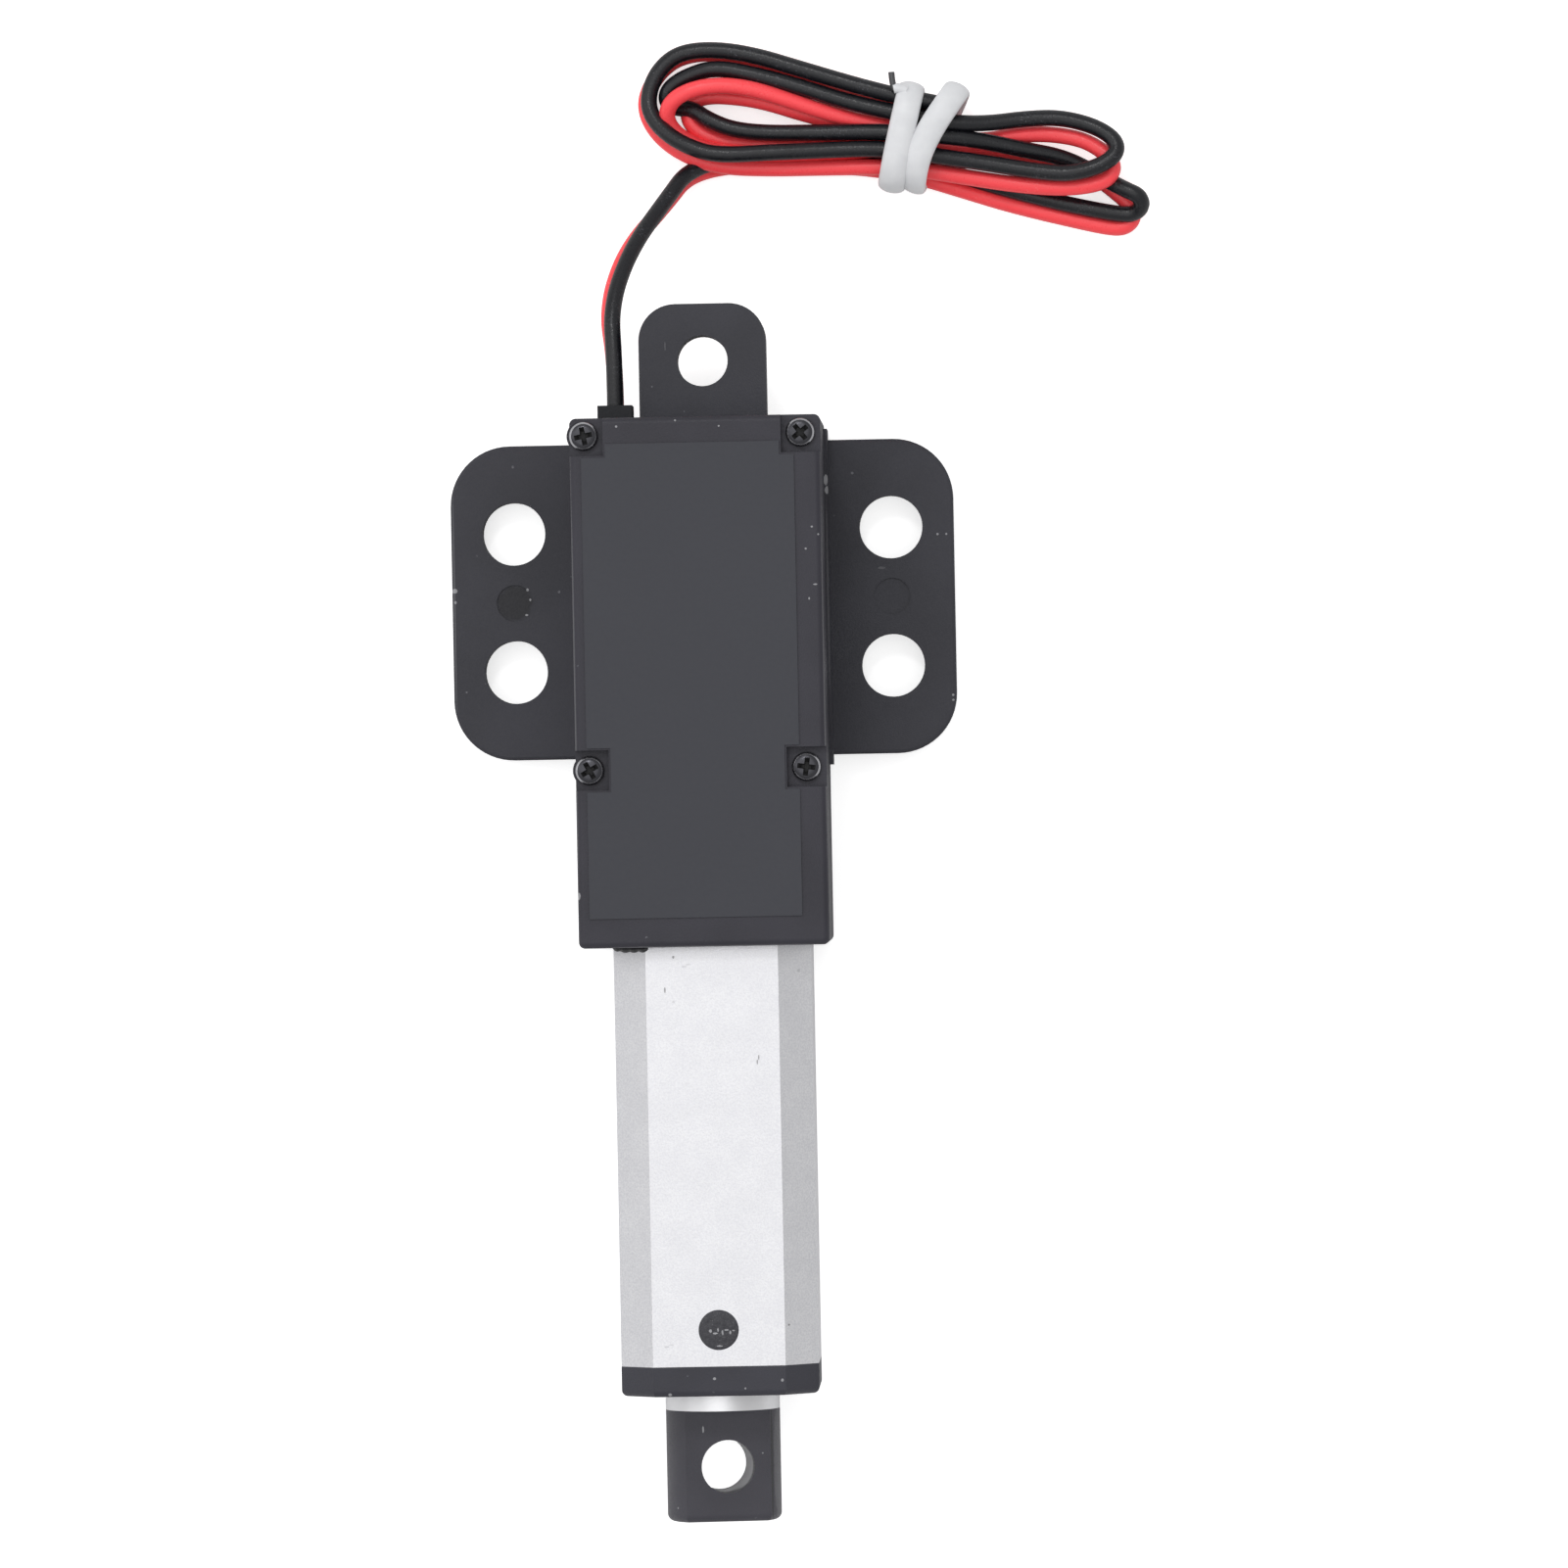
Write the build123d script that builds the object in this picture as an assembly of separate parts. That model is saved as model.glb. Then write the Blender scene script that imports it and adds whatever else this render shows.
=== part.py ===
from build123d import *
import math
import os

# Small electric linear actuator, retracted, lying on its back. Millimetres.
#
# The origin is the centre of the rear eye's hole, on the actuator's axis. +Z is up, away from the
# back face, +X is across the housing, and the rod slides out towards -Y.
#
# All rigid pieces are drawn on the bench first: across and up as seen, and along, the distance from
# the rear eye towards the rod end. BENCH then lays them in the part's own frame.
BENCH = Plane(origin=(0, 0, 0), x_dir=(1, 0, 0), z_dir=(0, -1, 0))

# Travel and fits
STROKE = 30.0
RUNNING_FIT = 0.05          # radial clearance of what turns or slides
FACE_GAP = 0.1              # axial clearance beside what turns
ROD_TWIST = 8.0             # degrees that the rod is turned from upright, as it was left

# Rod and barrel, an eight-sided extrusion with a round bore and a slot for the switch board
ROD_OUTSIDE = 9.0
ROD_BORE = 6.0
BORE_AROUND_ROD = 1.0       # from the rod to the barrel's bore
BARREL_WALL = 2.25          # from the bore to the barrel's flats
BARREL_CHAMFER = 2.57
BARREL_IN_BOX = 12.0        # the length held inside the housing
KEY_START = 5.0             # from the barrel's rear end to its retaining slots
KEY_LENGTH = 2.0
KEY_DEPTH = 1.0
KEY_HEIGHT = 6.0

# Gearbox housing
BOX_START = 4.6             # from the rear eye's centre to the housing's rear face
BOX_LENGTH = 41.4
SPLIT = 2.0                 # the parting plane between the back shell and the cover
WALL = 1.5                  # the side and end walls
FACE_WALL = 1.75            # the cover's top and the shell's back
BARREL_FIT = 0.05           # between the barrel and the side walls
WIRE_WAY = 1.0              # the further room inside the left wall, for the lead beside the motor
BOX_ROUND = 0.5             # rounding of the housing's outer edges

# Rear eye
EYE_WIDTH = 10.0
EYE_THICKNESS = 4.0
EYE_TIP = 4.5               # from the hole's centre to the tip
EYE_CORNER = 2.9
EYE_HOLE = 4.0

# Mounting wings
WING_SPAN = 40.0
WING_LENGTH = 25.0
WING_FROM_REAR = 1.55       # from the housing's rear face to the wings
WING_THICKNESS = 2.5
WING_CORNER = 4.75
WING_EDGE = 0.25
WING_HOLE = 5.0
WING_HOLE_SPAN = 30.0
WING_HOLE_PITCH = 11.0
EJECTOR_MARK = 2.9
EJECTOR_DEPTH = 0.15
WING_ROOT_LENGTH = 26.6
WING_ROOT_PROUD = 0.3
WING_ROOT_HEIGHT = 5.5

# Cover screws
SCREW_FROM_LEFT = 1.1       # from the housing's faces to the screws' centres
SCREW_FROM_RIGHT = 1.57
SCREW_FROM_REAR = 1.4
SCREW_BEHIND_BARREL = 1.9   # from the front pair to the barrel's rear end
SCREW_HEAD = 2.25
SCREW_SHANK = 1.4
SCREW_LENGTH = 9.0
SCREW_POST = 2.65
NOTCH_DEPTH = 0.8
NOTCH_INSIDE = 1.52         # from the screw's centre to the notch's inner edge
NOTCH_HALF = 1.57           # from the screw's centre to the notch's other edges
CROSS_LENGTH = 1.5
CROSS_WIDTH = 0.32
CROSS_DEPTH = 0.45
CROSS_TURN = 20.0           # how the recess of the screw on the axis would be turned
CROSS_TURN_ACROSS = 3.0     # and how much more for each millimetre across
SCREW_EDGE = 0.2

# Blank label, cut out round the screws
LABEL_FROM_LEFT = 0.9       # from the housing's faces to the label's edges
LABEL_FROM_RIGHT = 2.1
LABEL_FROM_REAR = 2.05
LABEL_FROM_FRONT = 2.3
LABEL_FROM_NOTCH = 0.15
LABEL_THICKNESS = 0.12

# Front end
CAP_THICKNESS = 2.35
CAP_SPIGOT = 4.75
CAP_ROUND = 0.5
SPIGOT_FIT = 0.05
LUG = 3.15
LUG_FROM_END = 2.85         # from the barrel's front end to the lugs' centres
SEAL_WIDTH = 1.2
SEAL_WALL = 0.9
SEAL_FROM_FACE = 0.5
ROD_SHOWING = 1.35          # bare rod between the cap and the rod end
ROD_END_LENGTH = 8.8
ROD_END_FLATS = 6.0
ROD_END_HOLE = 4.2
ROD_END_HOLE_FROM = 4.45    # from the rod end's shoulder to its hole
ROD_END_PLUG = 5.2
ROD_END_ROUND = 0.6

# Screw, nut and bearing
SCREW_CORE = 4.0
SCREW_PAST_NUT = 1.0        # how far the screw reaches past the nut's head, rod out
SCREW_TIP = 0.4
BEARING_WIDTH = 4.0
BEARING_OUTSIDE = 9.0
INNER_RACE = 5.5
OUTER_RACE = 7.5
SHIELD = 0.2                # thickness of each of the bearing's two dust shields
SHIELD_INSET = 0.15         # from the races' faces to the shields
COLLAR = 5.2
COLLAR_LENGTH = 0.4
CLIP_OUTSIDE = 6.0
CLIP_LENGTH = 0.6
CLIP_OPENING = 2.0
NUT_GAP = 0.5               # from the bearing to the nut, rod in
NUT_FIT = 0.2               # between the nut's head and the bore
NUT_HEAD_LENGTH = 5.0
NUT_SPIGOT = 6.0
NUT_END_GAP = 0.6           # from the nut to the cap's spigot, rod out
GUIDE_DEPTH = 0.7
GUIDE_LENGTH = 2.0

# Gear train
MODULE = 0.2
PINION_TEETH = 9
WHEEL_TEETH = 36
TOOTH_SHARE = 0.86          # tooth thickness as a share of half the pitch, which leaves backlash
PRESSURE_ANGLE = 20.0
LAYSHAFT_ANGLE = 225.0      # where the layshaft lies, from across towards up
LAYSHAFT_PIN = 0.8
LAYSHAFT_HUB = 2.4
OUTPUT_HUB = 5.2
PINION_BEFORE = 0.3         # how far the motor pinion reaches past the wheel it drives
PINION_PAST = 0.2
PLATE_REAR = 0.8
PLATE_FRONT = 1.0
PLATE_TO_BARREL = 2.6       # the room for the screw's clip in front of the gearbox
PLATE_BESIDE = 1.5          # from the plates to the right wall, the cover and the back
PLATE_OVER = 1.75
PLATE_UNDER = 0.35
PLATE_CORNER = 1.1
REAR_PLATE_HOLE = 3.0
STAGE_ONE_GAP = 0.7         # from the rear plate to the first wheel
STAGE_ONE_WIDTH = 1.6
STAGE_TWO_GAP = 0.6         # from the first wheel to the second
STAGE_TWO_WIDTH = 2.0
OUTPUT_HUB_LENGTH = 0.4
GEARBOX_POST = 1.2
POSTS = ((5.5, 4.6), (-5.5, 4.6), (5.5, -5.6))

# Motor
MOTOR_BESIDE = 0.3          # from the motor to the right wall
MOTOR_BEHIND = 1.6          # from the motor to the rear wall
MOTOR_FLATS = 12.0
END_BELL_LENGTH = 2.0
BELL_EDGE = 0.5
MOTOR_SHAFT = 1.0
RIB_PLACES = (0.2, 0.8)     # the ribs that hold the motor, as shares of the can's length
RIB_HALF = 0.6
CRADLE_SHARE = 0.25         # how far up the motor the lower ribs reach, as a share of its height
SHAFT_IN_CAN = 6.0
TERMINAL_ACROSS = 4.2
TERMINAL_WIDTH = 1.6
TERMINAL_THICKNESS = 0.4
TERMINAL_LENGTH = 1.2
TERMINAL_HOLE = 0.8

# Limit switches
BOARD_WIDTH = 4.6
BOARD_THICKNESS = 0.6
BOARD_FIT = 0.2             # beside the board in the barrel's slot
SWITCH_UNDER_BORE = 0.15    # from the plungers to the barrel's bore
BOARD_BEFORE_BARREL = 1.0
BOARD_PAST_SWITCH = 0.2
SWITCH_SIZE = (3.4, 0.85, 3.6)
SWITCH_START = 7.0          # from the barrel's rear end to the first switch, which stops the way in
PLUNGER = 0.85
PLUNGER_HEIGHT = 0.1
DIODE = 0.8
DIODE_LENGTH = 1.8
DIODE_PLACES = (14.0, 17.0)

# Lead
WIRE = 1.3
GROMMET_BESIDE_POST = 0.075 # from the rear left screw post to the grommet
GROMMET_NECK = (2.0, 3.6)
GROMMET_FLANGE = (2.72, 4.5)
GROMMET_PROUD = 1.2
GROMMET_INSIDE = (1.7, 4.6, 0.8)
WIRE_STACK = 1.35           # between the two wires' centres in the grommet
WIRE_TAIL = 0.4             # from the lead's inner ends to the motor
HANK_HEIGHT = 5.2
HANK_EDGE = 1.0
TIE_WIDTH = 2.1
TIE_THICKNESS = 1.0
TIE_ROUND = 2.0
TIE_CORE = 0.45

# Each route starts at the grommet and ends under the hank. These are the points by which the wire
# was laid, in the part's own frame.
BLACK_ROUTE = [
    (-6.95, -3.4, 0.88),
    (-6.95, 0.2, 0.88),
    (-7.2, 4.6, -0.2),
    (-5.6, 9.2, -2.9),
    (-2.8, 13.2, -6.0),
    (1.1, 15.8, -7.5),
]
RED_ROUTE = [
    (-6.95, -3.4, -0.47),
    (-6.95, 0.2, -0.47),
    (-7.6, 4.4, -1.8),
    (-6.2, 9.0, -4.4),
    (-2.9, 12.9, -7.6),
    (1.4, 15.3, -8.85),
]
# Each end of the hank is a hull round these circles, x, y and radius
HANK_LEFT = [(0.0, 20.5, 5.2), (5.0, 20.0, 5.3), (9.7, 18.8, 3.8)]
HANK_RIGHT = [(22.7, 16.0, 3.3), (26.0, 16.4, 3.7), (30.5, 15.6, 3.6), (33.0, 12.2, 3.0)]
HANK_WAIST = ((17.3, 17.65), -14.7)
WAIST_SIZE = (12.0, 6.4, 4.0)
WAIST_EDGE = 1.2
# Each band of the tie: the middle of the wrap and how far it slants from square
TIE_BANDS = (((16.0, 18.0), -10.5), ((18.65, 17.5), -20.5))
TIE_REACH = (9.3, 6.2)      # the wrap's outside size across the hank and up
TIE_CORE_TIP = ((15.6, 22.0), (15.45, 23.1))

# Sizes across and up that follow from the sizes above
BARREL_BORE = ROD_OUTSIDE + 2 * BORE_AROUND_ROD
BARREL_SIZE = BARREL_BORE + 2 * BARREL_WALL
INSIDE_RIGHT = BARREL_SIZE / 2 + BARREL_FIT
INSIDE_LEFT = -INSIDE_RIGHT - WIRE_WAY
BOX_RIGHT = INSIDE_RIGHT + WALL
BOX_LEFT = INSIDE_LEFT - WALL
BOX_MIDDLE = (BOX_LEFT + BOX_RIGHT) / 2
BOX_TOP = BARREL_SIZE / 2 + FACE_WALL
BOX_BACK = -BOX_TOP
BOX_CEILING = BOX_TOP - FACE_WALL
BOX_FLOOR = BOX_BACK + FACE_WALL
FLOOR = BOX_BACK            # the surface that the back face lies on
WING_TOP = BOX_BACK + WING_THICKNESS
NOTCH_FLOOR = BOX_TOP - NOTCH_DEPTH
SEAL_OUTSIDE = ROD_OUTSIDE + 2 * SEAL_WALL
NUT_HEAD = BARREL_BORE - 2 * NUT_FIT
GUIDE_GROOVE = NUT_HEAD - 2 * GUIDE_DEPTH
PLATE_WIDTH = 2 * (INSIDE_RIGHT - PLATE_BESIDE)
PLATE_TOP = BOX_CEILING - PLATE_OVER
PLATE_BOTTOM = BOX_FLOOR + PLATE_UNDER
MOTOR_DIAMETER = 2 * (INSIDE_RIGHT - MOTOR_BESIDE)
BOARD_SLOT_WIDTH = BOARD_WIDTH + 2 * BOARD_FIT
SWITCH_STACK = BOARD_THICKNESS + SWITCH_SIZE[1] + PLUNGER_HEIGHT
BOARD_SLOT_FLOOR = -(BARREL_BORE / 2 + SWITCH_UNDER_BORE + SWITCH_STACK)
SCREW_COLUMNS = (BOX_LEFT + SCREW_FROM_LEFT, BOX_RIGHT - SCREW_FROM_RIGHT)
POST_INNER = SCREW_COLUMNS[0] + SCREW_POST / 2
GROMMET_ACROSS = POST_INNER + GROMMET_BESIDE_POST + GROMMET_INSIDE[0] / 2
GROMMET_UP = SPLIT - GROMMET_NECK[1] / 2

# Distances along the actuator that follow
BOX_END = BOX_START + BOX_LENGTH
BARREL_START = BOX_END - BARREL_IN_BOX
BEARING_END = BARREL_START + BEARING_WIDTH
NUT_START = BEARING_END + NUT_GAP
NUT_HEAD_END = NUT_START + NUT_HEAD_LENGTH
SPIGOT_START = NUT_HEAD_END + STROKE + NUT_END_GAP
BARREL_END = SPIGOT_START + CAP_SPIGOT
CAP_END = BARREL_END + CAP_THICKNESS
ROD_END_START = CAP_END + ROD_SHOWING
ROD_END_TIP = ROD_END_START + ROD_END_LENGTH
SCREW_END = NUT_HEAD_END + STROKE + SCREW_PAST_NUT
FRONT_PLATE_END = BARREL_START - PLATE_TO_BARREL
FRONT_PLATE_START = FRONT_PLATE_END - PLATE_FRONT
STAGE_TWO = FRONT_PLATE_START - FACE_GAP - OUTPUT_HUB_LENGTH - STAGE_TWO_WIDTH
STAGE_ONE = STAGE_TWO - STAGE_TWO_GAP - STAGE_ONE_WIDTH
GEARBOX_REAR = STAGE_ONE - STAGE_ONE_GAP
GEARBOX_START = GEARBOX_REAR - PLATE_REAR
BELL_START = BOX_START + WALL + MOTOR_BEHIND
CAN_START = BELL_START + END_BELL_LENGTH
CAN_LENGTH = GEARBOX_START - CAN_START
SWITCHES = (BARREL_START + SWITCH_START, BARREL_START + SWITCH_START + STROKE)
BOARD_START = BARREL_START - BOARD_BEFORE_BARREL
BOARD_END = SWITCHES[1] + SWITCH_SIZE[2] / 2 + BOARD_PAST_SWITCH
CENTRE_DISTANCE = MODULE * (PINION_TEETH + WHEEL_TEETH) / 2
LAYSHAFT = (
    CENTRE_DISTANCE * math.cos(math.radians(LAYSHAFT_ANGLE)),
    CENTRE_DISTANCE * math.sin(math.radians(LAYSHAFT_ANGLE)),
)
SCREW_ROWS = (BOX_START + SCREW_FROM_REAR, BARREL_START - SCREW_BEHIND_BARREL)
WING_MIDDLE = BOX_START + WING_FROM_REAR + WING_LENGTH / 2


# Shapes drawn on the bench


def block(across, up, along):
    """A box between pairs of limits."""
    sizes = [high - low for low, high in (across, up, along)]
    middle = [(high + low) / 2 for low, high in (across, up, along)]
    return Pos(*middle) * Box(*sizes)


def bar(diameter, start, end, at=(0, 0)):
    """A round bar along the actuator."""
    return Pos(at[0], at[1], (start + end) / 2) * Cylinder(diameter / 2, end - start)


def ring(outside, inside, start, end):
    """A tube along the actuator's axis."""
    return bar(outside, start, end) - bar(inside, start, end)


def post(diameter, low, high, at):
    """A round post standing up from the back, at (across, along)."""
    return Pos(at[0], (low + high) / 2, at[1]) * Rot(90, 0, 0) * Cylinder(diameter / 2, high - low)


def slab(outline, low, high):
    """A plate of an outline drawn in plan, across and along."""
    return extrude(Plane.XZ.offset(-high) * outline, high - low)


def profile(outline, start, end):
    """A length of a section drawn across and up."""
    return extrude(Plane.XY.offset(start) * outline, end - start)


def eight_sided(size, corner):
    return chamfer(Rectangle(size, size).vertices(), corner)


def rounded_box(low, high, flat):
    """The housing's outer form, with its flat face at the parting plane left sharp."""
    solid = block((BOX_LEFT, BOX_RIGHT), (low, high), (BOX_START, BOX_END))
    face = solid.faces().sort_by(Axis.Y)[0 if flat == "top" else -1]
    outer = face.edges() + solid.edges().filter_by(Axis.Y)
    return fillet(outer, BOX_ROUND)


def save(name, shape):
    export_step(shape, f"parts/{name}.step")


def save_bench(name, shape):
    save(name, BENCH.location * shape)


# Housing


def eye():
    root = BOX_START + WALL
    outline = Pos(0, (root - EYE_TIP) / 2) * Rectangle(EYE_WIDTH, root + EYE_TIP)
    corners = outline.vertices().sort_by(Axis.Y)[:2]
    half = EYE_THICKNESS / 2
    solid = slab(fillet(corners, EYE_CORNER), -half, half)
    return solid - post(EYE_HOLE, -half, half, (0, 0))


def wings():
    outline = Pos(BOX_MIDDLE, WING_MIDDLE) * RectangleRounded(WING_SPAN, WING_LENGTH, WING_CORNER)
    solid = slab(outline, BOX_BACK, WING_TOP)
    solid = chamfer(solid.faces().sort_by(Axis.Y)[-1].edges(), WING_EDGE)
    for across in (BOX_MIDDLE - WING_HOLE_SPAN / 2, BOX_MIDDLE + WING_HOLE_SPAN / 2):
        for along in (WING_MIDDLE - WING_HOLE_PITCH / 2, WING_MIDDLE + WING_HOLE_PITCH / 2):
            solid -= post(WING_HOLE, BOX_BACK, WING_TOP, (across, along))
        solid -= post(EJECTOR_MARK, WING_TOP - EJECTOR_DEPTH, WING_TOP, (across, WING_MIDDLE))
    return solid


def wing_root():
    start = WING_MIDDLE - WING_ROOT_LENGTH / 2
    return block(
        (BOX_LEFT - WING_ROOT_PROUD, BOX_RIGHT + WING_ROOT_PROUD),
        (BOX_BACK, BOX_BACK + WING_ROOT_HEIGHT),
        (start, start + WING_ROOT_LENGTH),
    )


def cavity(low, high):
    return block((INSIDE_LEFT, INSIDE_RIGHT), (low, high), (BOX_START + WALL, BOX_END - WALL))


def screw_posts(low, high):
    posts = [post(SCREW_POST, low, high, (x, along)) for x in SCREW_COLUMNS for along in SCREW_ROWS]
    return Part() + posts


def screw_holes(low, high):
    hole = SCREW_SHANK + 2 * RUNNING_FIT
    posts = [post(hole, low, high, (x, along)) for x in SCREW_COLUMNS for along in SCREW_ROWS]
    return Part() + posts


def barrel_opening():
    return profile(eight_sided(BARREL_SIZE, BARREL_CHAMFER), BOX_END - WALL, BOX_END)


def barrel_keys(low, high):
    """The ribs on the side walls that hold the barrel by its slots."""
    start = BARREL_START + KEY_START + RUNNING_FIT
    end = BARREL_START + KEY_START + KEY_LENGTH - RUNNING_FIT
    inner = BARREL_SIZE / 2 - KEY_DEPTH + RUNNING_FIT
    right = block((inner, BOX_RIGHT - WALL / 2), (low, high), (start, end))
    left = block((BOX_LEFT + WALL / 2, -inner), (low, high), (start, end))
    return right + left


def motor_outline(growth=0.0):
    round_part = Circle(MOTOR_DIAMETER / 2 + growth)
    return round_part & Rectangle(MOTOR_DIAMETER + 4 * growth, MOTOR_FLATS)


def motor_cradle():
    """Two ribs that carry the motor on its lower flat."""
    solid = Part()
    for share in RIB_PLACES:
        middle = CAN_START + share * CAN_LENGTH
        start, end = middle - RIB_HALF, middle + RIB_HALF
        rib = block((INSIDE_LEFT, INSIDE_RIGHT), (BOX_FLOOR, -MOTOR_FLATS * CRADLE_SHARE), (start, end))
        solid += rib - profile(motor_outline(FACE_GAP), start, end)
    return solid


def plate_feet():
    """Two low ribs that carry the gearbox plates."""
    half = PLATE_WIDTH / 2
    rear = block((-half, half), (BOX_FLOOR, PLATE_BOTTOM), (GEARBOX_START, GEARBOX_REAR))
    front = block((-half, half), (BOX_FLOOR, PLATE_BOTTOM), (FRONT_PLATE_START, FRONT_PLATE_END))
    return rear + front


def grommet_notch():
    width = GROMMET_NECK[0] / 2
    return block(
        (GROMMET_ACROSS - width, GROMMET_ACROSS + width),
        (SPLIT - GROMMET_NECK[1], SPLIT),
        (BOX_START, BOX_START + WALL),
    )


def back_shell():
    solid = rounded_box(BOX_BACK, SPLIT, "top") + wing_root() + wings()
    solid += screw_posts(BOX_BACK + WING_ROOT_HEIGHT, SPLIT)
    solid -= cavity(BOX_FLOOR, SPLIT)
    solid += screw_posts(BOX_FLOOR, SPLIT) + motor_cradle() + plate_feet()
    solid -= barrel_opening()
    solid -= screw_holes(SPLIT - SCREW_LENGTH, SPLIT)
    solid -= grommet_notch()
    key_half = KEY_HEIGHT / 2 - RUNNING_FIT
    return solid + barrel_keys(-key_half, SPLIT) + eye()


def screw_notches(depth, margin=0.0):
    """The pockets that the screw heads lie in, open to the side and, at the rear, to the end."""
    inside, half = NOTCH_INSIDE + margin, NOTCH_HALF + margin
    left = (BOX_LEFT - SCREW_POST, SCREW_COLUMNS[0] + inside)
    right = (SCREW_COLUMNS[1] - inside, BOX_RIGHT + SCREW_POST)
    rear, front = SCREW_ROWS
    solid = Part()
    for across in (left, right):
        solid += block(across, depth, (BOX_START - SCREW_POST, rear + half))
        solid += block(across, depth, (front - half, front + half))
    return solid


def cover_ribs():
    """Two ribs under the cover's top that hold the motor down, clear of the gearbox."""
    half = MOTOR_FLATS / 2
    solid = Part()
    for share in RIB_PLACES:
        middle = CAN_START + share * CAN_LENGTH
        solid += block((-half, half), (half, BOX_CEILING), (middle - RIB_HALF, middle + RIB_HALF))
    return solid


def front_cover():
    solid = rounded_box(SPLIT, BOX_TOP, "bottom")
    solid += screw_posts(SPLIT, NOTCH_FLOOR)
    solid -= cavity(SPLIT, BOX_CEILING)
    solid += screw_posts(SPLIT, NOTCH_FLOOR) + cover_ribs()
    solid -= screw_notches((NOTCH_FLOOR, BOX_TOP))
    solid -= barrel_opening()
    solid -= screw_holes(SPLIT, BOX_TOP)
    key_half = KEY_HEIGHT / 2 - RUNNING_FIT
    return solid + barrel_keys(SPLIT, key_half)


def cover_screws():
    """Four small screws with flat round heads and cross recesses."""
    screws = []
    for across in SCREW_COLUMNS:
        for along in SCREW_ROWS:
            at = (across, along)
            head = post(SCREW_HEAD, NOTCH_FLOOR, BOX_TOP, at)
            head = chamfer(head.faces().sort_by(Axis.Y)[-1].edges(), SCREW_EDGE)
            screw = head + post(SCREW_SHANK, SPLIT - SCREW_LENGTH / 2, NOTCH_FLOOR, at)
            cross = Rectangle(CROSS_LENGTH, CROSS_WIDTH) + Rectangle(CROSS_WIDTH, CROSS_LENGTH)
            turn = CROSS_TURN + CROSS_TURN_ACROSS * across
            placed = Pos(across, along) * Rot(0, 0, turn) * cross
            screws.append(screw - slab(placed, BOX_TOP - CROSS_DEPTH, BOX_TOP))
    return Compound(children=screws)


def blank_label():
    thickness = (BOX_TOP, BOX_TOP + LABEL_THICKNESS)
    solid = block(
        (BOX_LEFT + LABEL_FROM_LEFT, BOX_RIGHT - LABEL_FROM_RIGHT),
        thickness,
        (BOX_START + LABEL_FROM_REAR, BOX_END - LABEL_FROM_FRONT),
    )
    return solid - screw_notches(thickness, LABEL_FROM_NOTCH)


# Barrel and front end


def board_slot(start, end):
    half = BOARD_SLOT_WIDTH / 2
    return block((-half, half), (BOARD_SLOT_FLOOR, 0), (start, end))


def lug_holes(diameter):
    along = BARREL_END - LUG_FROM_END
    return post(diameter, -BARREL_SIZE / 2, BARREL_SIZE / 2, (0, along))


def barrel_tube():
    solid = profile(eight_sided(BARREL_SIZE, BARREL_CHAMFER), BARREL_START, BARREL_END)
    solid -= bar(BARREL_BORE, BARREL_START, BARREL_END)
    solid -= board_slot(BARREL_START, BARREL_END)
    solid -= lug_holes(LUG)
    start = BARREL_START + KEY_START
    half = KEY_HEIGHT / 2
    edge = BARREL_SIZE / 2
    for inner, outer in ((edge - KEY_DEPTH, edge), (-edge, KEY_DEPTH - edge)):
        solid -= block((inner, outer), (-half, half), (start, start + KEY_LENGTH))
    return solid


def end_cap():
    """The cap, its spigot in the barrel and the two lugs that snap through the barrel's wall."""
    flange = profile(eight_sided(BARREL_SIZE, BARREL_CHAMFER), BARREL_END, CAP_END)
    flange = fillet(flange.faces().sort_by(Axis.Z)[-1].edges(), CAP_ROUND)
    spigot = bar(BARREL_BORE - 2 * SPIGOT_FIT, SPIGOT_START, BARREL_END)
    solid = flange + spigot + lug_holes(LUG)
    solid -= bar(ROD_OUTSIDE + 2 * RUNNING_FIT, SPIGOT_START, CAP_END)
    seal_end = CAP_END - SEAL_FROM_FACE
    return solid - bar(SEAL_OUTSIDE, seal_end - SEAL_WIDTH, seal_end)


def rod_wiper_seal():
    end = CAP_END - SEAL_FROM_FACE
    return ring(SEAL_OUTSIDE, ROD_OUTSIDE + 2 * RUNNING_FIT, end - SEAL_WIDTH, end)


def rod_tube():
    return ring(ROD_OUTSIDE, ROD_BORE, NUT_HEAD_END, ROD_END_START)


def rod_end():
    """A round bar with two flats and a cross hole, on a plug that fills the rod's open end."""
    solid = bar(ROD_OUTSIDE, ROD_END_START, ROD_END_TIP)
    half = ROD_END_FLATS / 2
    reach = ROD_OUTSIDE
    middle = block((-reach, reach), (-half, half), (ROD_END_START, ROD_END_TIP))
    solid = fillet((solid & middle).faces().sort_by(Axis.Z)[-1].edges(), ROD_END_ROUND)
    solid += bar(ROD_BORE, ROD_END_START - ROD_END_PLUG, ROD_END_START)
    hole = post(ROD_END_HOLE, -half, half, (0, ROD_END_START + ROD_END_HOLE_FROM))
    return Rot(0, 0, -ROD_TWIST) * (solid - hole)


# Screw, nut and bearing


def lead_screw():
    """The screw, its collar in front of the bearing and its plain journal behind it."""
    solid = bar(SCREW_CORE, STAGE_TWO, SCREW_END)
    tip = solid.faces().sort_by(Axis.Z)[-1]
    solid = chamfer(tip.edges(), SCREW_TIP)
    return solid + bar(COLLAR, BEARING_END, BEARING_END + COLLAR_LENGTH)


def screw_clip():
    """The open ring that holds the journal behind the bearing."""
    start = BARREL_START - CLIP_LENGTH
    solid = ring(CLIP_OUTSIDE, SCREW_CORE, start, BARREL_START)
    half = CLIP_OPENING / 2
    return solid - block((-half, half), (0, CLIP_OUTSIDE), (start, BARREL_START))


def bearing_outer_race():
    return ring(BEARING_OUTSIDE, OUTER_RACE, BARREL_START, BEARING_END)


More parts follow.
